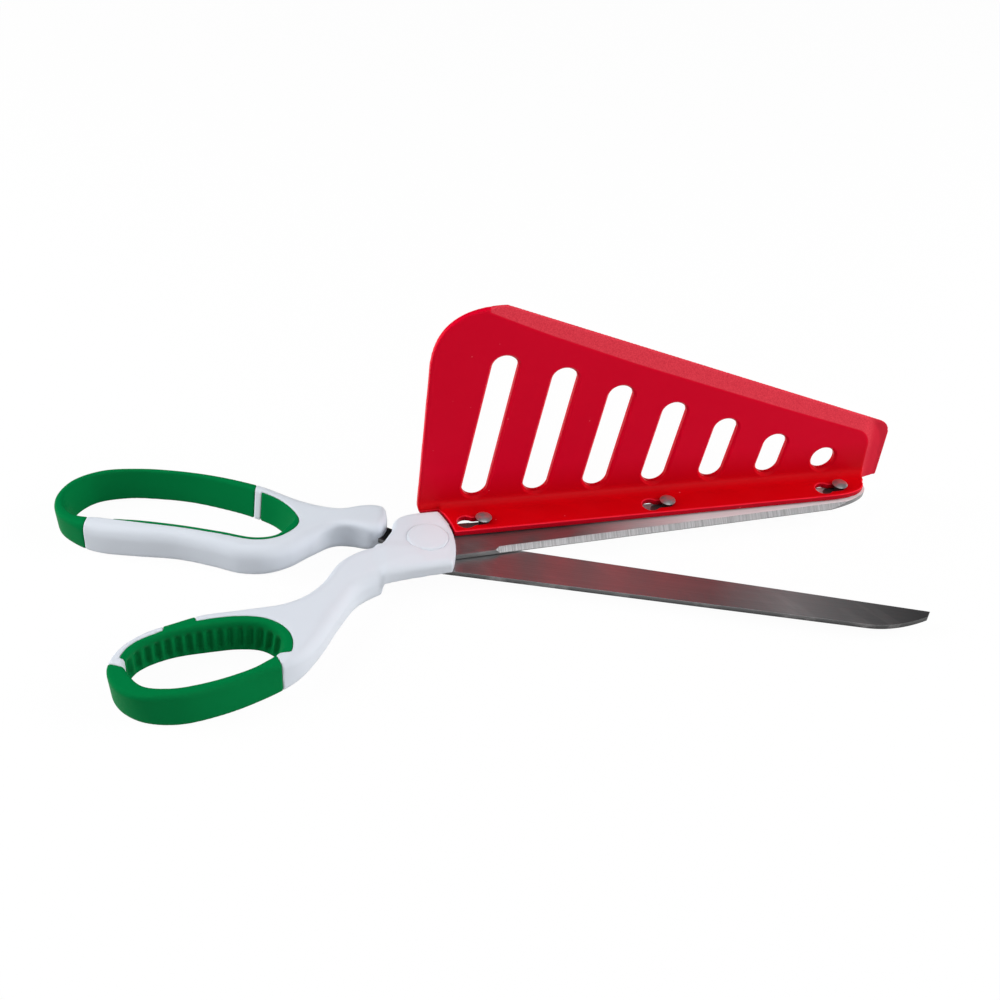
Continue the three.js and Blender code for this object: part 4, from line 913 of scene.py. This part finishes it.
def flute_tree():
    """Presses upright round flutes that run out at both ends into a wall, at even steps along a path."""
    tree, given, result = new_tree("wall_flutes", [
        ("Path", "NodeSocketObject"), ("Count", "NodeSocketInt"), ("First", "NodeSocketFloat"),
        ("Pitch", "NodeSocketFloat"), ("Width", "NodeSocketFloat"), ("Depth", "NodeSocketFloat"),
        ("Low", "NodeSocketFloat"), ("High", "NodeSocketFloat"), ("Fade", "NodeSocketFloat"),
        ("Material", "NodeSocketMaterial")])
    wall = add_node(tree, "GeometryNodeObjectInfo", transform_space="ORIGINAL")
    wire(tree, given.outputs["Path"], wall.inputs["Object"])
    run = add_node(tree, "GeometryNodeMeshToCurve")
    wire(tree, wall.outputs["Geometry"], run.inputs["Mesh"])
    length = add_node(tree, "GeometryNodeSplineParameter")
    marks = add_node(tree, "GeometryNodeCaptureAttribute", domain="POINT")
    marks.capture_items.new("FLOAT", "Along")
    wire(tree, run.outputs["Curve"], marks.inputs["Geometry"])
    wire(tree, length.outputs["Length"], marks.inputs["Along"])
    dots = add_node(tree, "GeometryNodeCurveToPoints", mode="EVALUATED")
    wire(tree, marks.outputs["Geometry"], dots.inputs["Curve"])
    place = add_node(tree, "GeometryNodeInputPosition")
    here = split(tree, place.outputs["Position"])
    flat = vector(tree, here["X"], here["Y"], 0.0)
    nearest = add_node(tree, "GeometryNodeSampleNearest", domain="POINT")
    wire(tree, dots.outputs["Points"], nearest.inputs["Geometry"])
    wire(tree, flat, nearest.inputs["Sample Position"])
    along = add_node(tree, "GeometryNodeSampleIndex", data_type="FLOAT", domain="POINT")
    wire(tree, dots.outputs["Points"], along.inputs["Geometry"])
    wire(tree, marks.outputs["Along"], along.inputs["Value"])
    wire(tree, nearest.outputs["Index"], along.inputs["Index"])
    spot = add_node(tree, "GeometryNodeSampleIndex", data_type="FLOAT_VECTOR", domain="POINT")
    wire(tree, dots.outputs["Points"], spot.inputs["Geometry"])
    wire(tree, place.outputs["Position"], spot.inputs["Value"])
    wire(tree, nearest.outputs["Index"], spot.inputs["Index"])
    off = add_node(tree, "ShaderNodeVectorMath", operation="DISTANCE")
    wire(tree, flat, off.inputs[0])
    wire(tree, spot.outputs["Value"], off.inputs[1])

    past = maths(tree, "DIVIDE", maths(tree, "SUBTRACT", along.outputs["Value"], given.outputs["First"]),
                 given.outputs["Pitch"])
    turn = maths(tree, "MINIMUM", maths(tree, "MAXIMUM", maths(tree, "ROUND", past), 0.0),
                 maths(tree, "SUBTRACT", given.outputs["Count"], 1.0))
    aside = maths(tree, "ABSOLUTE", maths(tree, "SUBTRACT", past, turn))
    aside = maths(tree, "MULTIPLY", aside, given.outputs["Pitch"])
    half = maths(tree, "MULTIPLY", given.outputs["Width"], 0.5)
    aside = maths(tree, "MINIMUM", maths(tree, "DIVIDE", aside, half), 1.0)
    wave = maths(tree, "COSINE", maths(tree, "MULTIPLY", aside, math.pi))
    round_groove = maths(tree, "MULTIPLY", maths(tree, "ADD", wave, 1.0), 0.5)
    from_ends = maths(tree, "MINIMUM", maths(tree, "SUBTRACT", given.outputs["High"], here["Z"]),
                      maths(tree, "SUBTRACT", here["Z"], given.outputs["Low"]))
    fade = add_node(tree, "ShaderNodeMapRange", interpolation_type="SMOOTHSTEP")
    wire(tree, from_ends, fade.inputs["Value"])
    wire(tree, given.outputs["Fade"], fade.inputs["From Max"])
    share = maths(tree, "MULTIPLY", round_groove, fade.outputs["Result"])
    on_wall = maths(tree, "LESS_THAN", off.outputs["Value"], 0.0026)
    press = maths(tree, "MULTIPLY", maths(tree, "MULTIPLY", share, on_wall), given.outputs["Depth"])
    facing = add_node(tree, "GeometryNodeInputNormal")
    inward = add_node(tree, "ShaderNodeVectorMath", operation="SCALE")
    wire(tree, facing.outputs["Normal"], inward.inputs["Vector"])
    wire(tree, maths(tree, "MULTIPLY", press, -1.0), inward.inputs["Scale"])
    pressed = add_node(tree, "GeometryNodeSetPosition")
    wire(tree, given.outputs["Geometry"], pressed.inputs["Geometry"])
    wire(tree, inward.outputs["Vector"], pressed.inputs["Offset"])
    finish_tree(tree, given, result, pressed.outputs["Geometry"])
    return tree


# Blades


def prism(name, outline, low, high):
    """Upright prism over a plan outline, in millimetres."""
    outline = np.array(outline, float)
    area = np.sum(outline[:, 0] * np.roll(outline[:, 1], -1) - np.roll(outline[:, 0], -1) * outline[:, 1])
    if area < 0:
        outline = outline[::-1]
    n = len(outline)
    corners = [(x, y, z) for z in (low, high) for x, y in outline]
    faces = [tuple(range(n))[::-1], tuple(range(n, 2 * n))]
    faces += [(i, (i + 1) % n, n + (i + 1) % n, n + i) for i in range(n)]
    return mesh_object(name, corners, faces)


def combined(made, other, operation):
    modifier = made.modifiers.new(operation.lower(), "BOOLEAN")
    modifier.object, modifier.operation, modifier.solver = other, operation, "EXACT"
    applied(made)
    bpy.data.objects.remove(other)
    return made


def tang(name, direction, length, low, high):
    half = TANG_WIDTH / 2
    c, s = math.cos(math.radians(direction)), math.sin(math.radians(direction))
    straight = ((0, -half), (length, -half), (length, half), (0, half))
    corners = [(c * u - s * v, s * u + c * v) for u, v in straight]
    return prism(name, corners, low, high)


def ground_strip_cutter(edge, upside_down=False):
    """Wedge that grinds the strip along an edge; its end leans, so that the strip starts in a point."""
    slant = math.atan2(edge[0] - edge[1], BLADE_REACH)
    steep = (BLADE_HIGH - BLADE_LOW - EDGE_LAND) / BEVEL_WIDTH
    run = 4
    wide = BEVEL_WIDTH + run
    section = [(-run, -run * steep), (wide, wide * steep), (-run, wide * steep)]
    corners = []
    for end in (0, BLADE_REACH):
        for across, up in section:
            lean = BEVEL_POINT * (up - steep * across) / (BEVEL_WIDTH * steep)
            u = end - (lean if end == 0 else 0)
            x = BEVEL_START + u * math.cos(slant) - across * math.sin(slant)
            y = -edge_at(BEVEL_START, edge) + u * math.sin(slant) + across * math.cos(slant)
            z = BLADE_LOW + EDGE_LAND + up
            corners.append((x, -y, -z) if upside_down else (x, y, z))
    faces = [(0, 2, 1), (3, 4, 5), (0, 1, 4, 3), (1, 2, 5, 4), (2, 0, 3, 5)]
    cutter = mesh_object("ground_strip", corners, faces)
    made = bmesh.new()
    made.from_mesh(cutter.data)
    bmesh.ops.recalc_face_normals(made, faces=made.faces)
    made.to_mesh(cutter.data)
    made.free()
    return cutter


def finish_blade(made, turn):
    edge = made.modifiers.new("edges", "BEVEL")
    edge.width, edge.segments, edge.limit_method, edge.angle_limit = 0.09, 2, "ANGLE", math.radians(25)
    applied(made)

    # Painted shade: the sides of each blade (a little less on the upper half of the lower blade's sides),
    # the tracks under the studs and the tang inside the handle.
    def darkness(face, corner):
        if abs(face.normal.z) < 0.35:
            return 0.75 if -BLADE_HIGH / 2 < corner.z < 0 else 1
        on_track = 1 < face.center.z < BLADE_HIGH - 0.05 and face.normal.z > 0.9
        return on_track or face.center.x < -HEEL_REACH

    marked(made, "flank", darkness)
    marked(made, "ground", lambda face, corner: 0.5 < abs(face.normal.z) < 0.9 and face.area > 1)
    return shade_smooth(opened(made, turn, 1), 20)


def upper_blade():
    made = prism("upper_blade_plate", upper_blade_outline(), BLADE_LOW, BLADE_HIGH)
    combined(made, tang("tang", *THUMB_TANG, BLADE_LOW, BLADE_HIGH), "UNION")
    combined(made, ground_strip_cutter(UPPER_EDGE), "DIFFERENCE")
    combined(made, prism("hole", arc(0, 0, UPPER_BORE, 0, 354, 60), -CUT, CUT), "DIFFERENCE")
    for place in STUD_PLACES:
        track = arc(place, STUD_OFFSET, TRACK_HALF, -90, 90)
        track += arc(place - TRACK_LENGTH, STUD_OFFSET, TRACK_HALF, 90, 270)
        combined(made, prism("track", track, BLADE_HIGH - TRACK_DEPTH, CUT), "DIFFERENCE")
    return finish_blade(made, THUMB_TURN)


def lower_blade():
    made = prism("lower_blade_plate", lower_blade_outline(), -BLADE_HIGH, -BLADE_LOW)
    combined(made, tang("tang", *FINGER_TANG, -BLADE_HIGH, -BLADE_LOW), "UNION")
    combined(made, ground_strip_cutter(LOWER_EDGE, True), "DIFFERENCE")
    combined(made, prism("hole", arc(0, 0, LOWER_BORE, 0, 354, 60), -CUT, CUT), "DIFFERENCE")
    return finish_blade(made, FINGER_TURN)


# Spatula


def sheet_section():
    """Flange and plate seen along the spatula: offset from the pivot line, and height."""
    points = [(FLANGE_FRONT, FLANGE_LOW)]
    points += arc(PLATE_BACK - BEND_OUTSIDE, FLANGE_LOW + BEND_OUTSIDE, BEND_OUTSIDE, -90, 0, 9)
    points += [(PLATE_BACK, PLATE_TOP + CUT), (PLATE_FRONT, PLATE_TOP + CUT)]
    points += arc(PLATE_FRONT - BEND_INSIDE, FLANGE_HIGH + BEND_INSIDE, BEND_INSIDE, 0, -90, 12)
    return points + [(FLANGE_FRONT, FLANGE_HIGH)]


def slope_height(x):
    return PLATE_TOP - SLOPE_FALL * max(x - SLOPE_START, 0)


def plate_outline():
    low, end = FLANGE_LOW - 0.25, PLATE_TIP - TIP_CORNER
    foot_end = PLATE_REAR_FOOT + REAR_FOOT_CORNER
    tip = (PLATE_TIP, PLATE_TIP_HEIGHT - TIP_CORNER), (PLATE_TIP, PLATE_TIP_HEIGHT), (end, slope_height(end))
    rear = (SLOPE_START, PLATE_TOP), (PLATE_REAR, PLATE_TOP), (PLATE_REAR, PLATE_TOP - PLATE_CORNER_DROP)
    foot = (PLATE_REAR_FOOT, low + REAR_FOOT_CORNER), (PLATE_REAR_FOOT, low), (foot_end, low)
    return [(PLATE_TIP, low)] + bent(*tip) + bent(*rear, 40) + bent(*foot)


def flange_trim_area():
    """What lies in front of the flange, and past its round end up to the plate's tip."""
    start, end = UPPER_REACH - ROUND_END, UPPER_REACH - FLANGE_END_MARGIN
    tip_front = PLATE_FRONT - TOE_IN * PLATE_TIP
    points = [(-9, FLANGE_FRONT - 9), (-9, FLANGE_FRONT)]
    points += bent((start, FLANGE_FRONT), (end, FLANGE_FRONT), (end, BACK_OFFSET))
    return points + [(PLATE_TIP, tip_front), (PLATE_TIP + 9, tip_front), (PLATE_TIP + 9, FLANGE_FRONT - 9)]


def inside_strip(x, z):
    """How far places of the serving face lie inside the strip along slope and tip, negative outside."""
    from_slope = (PLATE_TOP - SLOPE_FALL * (x - SLOPE_START) - z) / math.hypot(1, SLOPE_FALL)
    slope_width = np.interp(x, STRIP_PLACES, STRIP_WIDTHS)
    tip_width = 7 + 0.05 * (z - 4)
    a = slope_width - from_slope + STRIP_CORNER
    b = tip_width - PLATE_TIP + x + STRIP_CORNER
    reach = np.hypot(np.maximum(a, 0), np.maximum(b, 0)) + np.minimum(np.maximum(a, b), 0) - STRIP_CORNER
    rise = np.clip(1 - from_slope / slope_width, 0, 1)
    return np.minimum(reach, x - STRIP_START - 4 * (1 - np.sqrt(1 - rise * rise)))


def spatula():
    """Sheet with flange, keyholes and thinned strip, drawn square and toed in once it is slotted."""
    x, y, z = grid(-1, 174, 0.5), grid(1, 19.6, 0.4), grid(1.2, 83, 0.5)
    px, py = np.meshgrid(x, y, indexing="ij")
    py = py - TOE_IN * px
    section = outline_field(sheet_section(), y, z)[None, :, :]
    plate = outline_field(plate_outline(), x, z)[:, None, :]
    body = soft_max(section, plate, 0.45)
    body = soft_max(body, -outline_field(hub_outline(0.6), px, py)[:, :, None], 0.5)
    body = soft_max(body, -outline_field(flange_trim_area(), px, py)[:, :, None], 0.5)
    qx, qz = np.meshgrid(x, z, indexing="ij")
    inside = inside_strip(qx, qz)
    thinned = STRIP_DEPTH * np.clip(inside / max(STRIP_WIDTHS), 0, 1) + 0.12 * smoothstep(inside, -0.1, 0.3)
    thinned = PLATE_FRONT + thinned - 20 * np.clip(-inside / 3, 0, 1)
    body = soft_max(body, thinned[:, None, :] - y[None, :, None], 0.2)
    for place in STUD_PLACES:
        entry = place - SLIDE_TRAVEL
        width = STUD_SHANK / 2 + KEYHOLE_CLEARANCE
        hole = np.hypot(px - entry, py - STUD_OFFSET) - STUD_HEAD / 2 - KEYHOLE_CLEARANCE
        run = np.clip(px, entry, place)
        hole = np.minimum(hole, np.hypot(px - run, py - STUD_OFFSET) - width)
        body = soft_max(body, -hole[:, :, None], 0.4)
    corners, faces = skin(body, (x, y, z))
    return mesh_object("spatula_sheet", corners * MM, faces)


def slotted(sheet, finish):
    pitch = (SLOT_LAST - SLOT_FIRST) / (SLOT_COUNT - 1)
    run_tree(sheet, drain_slot_tree(), count=SLOT_COUNT, first=SLOT_FIRST * MM,
             pitch=pitch * MM, foot=SLOT_FOOT * MM, width=SLOT_WIDTH * MM,
             lean=math.tan(math.radians(SLOT_LEAN)), top=(PLATE_TOP - SLOT_HEADROOM) * MM,
             slope_start=SLOPE_START * MM, fall=SLOPE_FALL, front=PLATE_FRONT * MM,
             wall=(PLATE_BACK - PLATE_FRONT) * MM, flare=SLOT_FLARE * MM, material=finish)
    corners = np.array([v.co for v in sheet.data.vertices]) / MM
    on_front = corners[:, 1] < PLATE_FRONT + STRIP_DEPTH + 0.3
    for name, values in (("strip", np.where(on_front, inside_strip(corners[:, 0], corners[:, 2]), -1)),
                         ("tip", smoothstep(corners[:, 0] + 0.05 * corners[:, 2], 164.5, 168.5))):
        mark = sheet.data.attributes.new(name, "FLOAT", "POINT")
        mark.data.foreach_set("value", values)
    corners[:, 1] -= TOE_IN * corners[:, 0]
    sheet.data.vertices.foreach_set("co", placed(corners, THUMB_TURN).ravel())
    sheet.data.update()
    return shade_smooth(sheet, 28)


def fluted(liner, finish):
    """Liner with flutes pressed into the wall of the thumb's hole."""
    wall = smooth_loop(THUMB_HOLE, 0.1)
    path = mesh_object("flute_path", [(a * MM, b * MM, 0) for a, b in wall],
                       edges=[(i, i + 1) for i in range(len(wall) - 1)])
    run_tree(liner, flute_tree(), path=path, count=FLUTE_COUNT, first=FLUTE_FIRST * MM,
             pitch=FLUTE_PITCH * MM, width=FLUTE_WIDTH * MM, depth=FLUTE_DEPTH * MM,
             low=FLUTE_LOW * MM, high=FLUTE_HIGH * MM, fade=FLUTE_FADE * MM, material=finish)
    bpy.data.objects.remove(path)


def stud_row(finish):
    """The three studs in one mesh."""
    made = stud()
    run_tree(made, stud_row_tree(), count=len(STUD_PLACES), first=STUD_PLACES[0] * MM,
             pitch=(STUD_PLACES[1] - STUD_PLACES[0]) * MM, offset=STUD_OFFSET * MM, material=finish)
    made.name = "spatula_studs"
    return shade_smooth(opened(made, THUMB_TURN))


# Making the pieces

white, green, red = white_plastic(), green_grip(), red_plastic()
# The tone stops paint the reflections and shade seen along each blade, darker near the pivot, with the upper
# blade paler and more scattering towards its tip.
upper_steel = steel("upper_blade_steel", THUMB_TURN,
                    [(8, 0.35, 0.2), (24, 0.41, 0.08), (50, 0.42, 0.1), (95, 0.78, 0.76),
                     (168, 0.92, 0.86)],
                    0.25, 0.68, (0.3, 0.4))
lower_steel = steel("lower_blade_steel", FINGER_TURN,
                    [(8, 0.37, 0.2), (24, 0.45, 0.1), (60, 0.53, 0.11), (95, 0.46, 0.09),
                     (122, 0.39, 0.34), (168, 0.2, 0.12)],
                    0.05, 0.66, (0.3, 0.4))
pin_steel = steel("pin_steel", THUMB_TURN, [(0, 0.7, 0.12), (168, 0.7, 0.12)], 0.1, 0.5, (0.3, 0.38), 900.0)

halves = (finger_half_skins(), FINGER_TURN, "finger_half"), (thumb_half_skins(), THUMB_TURN, "thumb_half")
for skins, turn, body in halves:
    for node_name, (corners, faces) in skins.items():
        made = mesh_object(node_name + "_skin", corners * MM, faces)
        if node_name == "thumb_inner_liner":
            fluted(made, green)
        shade_smooth(opened(made, turn), 60)
        slot, finish = ("white_plastic", white) if node_name.endswith("core") else ("green_grip", green)
        dressed(made, body, [node_name], finish)

dressed(upper_blade(), "thumb_half", ["upper_blade"], upper_steel)
dressed(lower_blade(), "finger_half", ["lower_blade"], lower_steel)
dressed(pivot_cap(), "thumb_half", ["pivot_cap"], white)
dressed(pivot_post(), "finger_half", ["pivot_post"], pin_steel)
dressed(pivot_washer(), "finger_half", ["pivot_washer"], pin_steel)
stud_nodes = ["spatula_stud_1", "spatula_stud_2", "spatula_stud_3"]
dressed(stud_row(pin_steel), "thumb_half", stud_nodes, pin_steel)
dressed(slotted(spatula(), red), "spatula", ["spatula"], red)

for name in ("pivot_screw", "spring_washer"):
    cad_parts[name].data.materials.clear()
    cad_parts[name].data.materials.append(pin_steel)


# Studio


def floor():
    """White floor with a low white backdrop all round, in metres."""
    size, backdrop = 6.0, 1.1
    corners = [(-size, -size), (size, -size), (size, size), (-size, size)]
    points = [(x, y, z) for z in (0, backdrop) for x, y in corners]
    walls = [(i, i + 4, (i + 1) % 4 + 4, (i + 1) % 4) for i in range(4)]
    made = mesh_object("studio_floor", points, [(0, 1, 2, 3)] + walls)
    made.data.transform(Matrix.Translation((0, 0, -0.0003)))
    finish, tree, shader = new_material("floor_white", Roughness=0.9)
    rays = add_node(tree, "ShaderNodeLightPath")
    colour = mixed(tree, rays.outputs["Is Camera Ray"], (0.4, 0.4, 0.4, 1), (1, 1, 1, 1))
    wire(tree, colour, shader.inputs["Base Color"])
    glow = add_node(tree, "ShaderNodeEmission")
    mirrored = maths(tree, "ADD", rays.outputs["Is Glossy Ray"], rays.outputs["Is Transmission Ray"])
    seen = maths(tree, "ADD", rays.outputs["Is Camera Ray"], mirrored)
    share = maths(tree, "MULTIPLY", maths(tree, "MINIMUM", seen, 1.0), 0.96)
    blend = add_node(tree, "ShaderNodeMixShader")
    wire(tree, share, blend.inputs["Fac"])
    wire(tree, shader.outputs["BSDF"], blend.inputs[1])
    wire(tree, glow.outputs["Emission"], blend.inputs[2])
    wire(tree, blend.outputs["Shader"], tree.nodes["Material Output"].inputs["Surface"])
    made.data.materials.append(finish)


def softbox(name, place, aim, size, power, mirrored=True):
    """Lamp with a flat face; mirrored says whether polished faces show it."""
    lamp = bpy.data.lights.new(name, "AREA")
    lamp.shape, lamp.size, lamp.size_y, lamp.energy = "RECTANGLE", size[0], size[1], power
    made = bpy.data.objects.new(name, lamp)
    made.location = place
    made.rotation_euler = (Vector(aim) - Vector(place)).to_track_quat("-Z", "Y").to_euler()
    made.visible_glossy = mirrored
    bpy.context.scene.collection.objects.link(made)


def studio_world():
    world = bpy.data.worlds.new("studio")
    bpy.context.scene.world = world
    world.use_nodes = True
    tree = world.node_tree
    place = add_node(tree, "ShaderNodeTexCoord")
    up = split(tree, place.outputs["Generated"])["Z"]
    ramp = add_node(tree, "ShaderNodeValToRGB")
    fill_ramp(ramp, ((0.0, 0.05, 1), (0.45, 0.06, 1), (0.75, 0.07, 1), (0.95, 0.12, 1), (1.0, 0.14, 1)))
    wire(tree, up, ramp.inputs["Fac"])
    wire(tree, ramp.outputs["Color"], tree.nodes["Background"].inputs["Color"])


def camera():
    data = bpy.data.cameras.new("photo_camera")
    data.lens, data.sensor_width = 50.0, 36.0
    data.clip_start, data.clip_end = 0.01, 20
    made = bpy.data.objects.new("photo_camera", data)
    turn, drop, roll = math.radians(7.935), math.radians(38), math.radians(6)
    forward = Vector((math.cos(drop) * math.sin(turn), math.cos(drop) * math.cos(turn), -math.sin(drop)))
    right = Vector((math.cos(turn), -math.sin(turn), 0))
    down = forward.cross(right)
    across = math.cos(roll) * right - math.sin(roll) * down
    up = -(math.sin(roll) * right + math.cos(roll) * down)
    made.matrix_world = Matrix((across, up, -forward)).transposed().to_4x4()
    made.location = (-0.02644, -0.3531, 0.30552)
    bpy.context.scene.collection.objects.link(made)
    bpy.context.scene.camera = made


floor()
softbox("left_box", (-0.85, 0.05, 0.45), (-0.05, 0, 0.01), (0.6, 0.6), 9.1, mirrored=False)
softbox("right_box", (0.95, 0.0, 0.45), (0.0, 0, 0.02), (0.7, 0.7), 9.2, mirrored=False)
softbox("front_box", (0.55, -1.1, 0.45), (0.04, 0, 0.03), (0.8, 0.6), 3.7)
softbox("over_box", (0.05, -0.68, 1.0), (0.05, 0, 0.0), (1.6, 0.45), 3.0)
studio_world()
camera()
bpy.context.scene.view_settings.view_transform = "Standard"
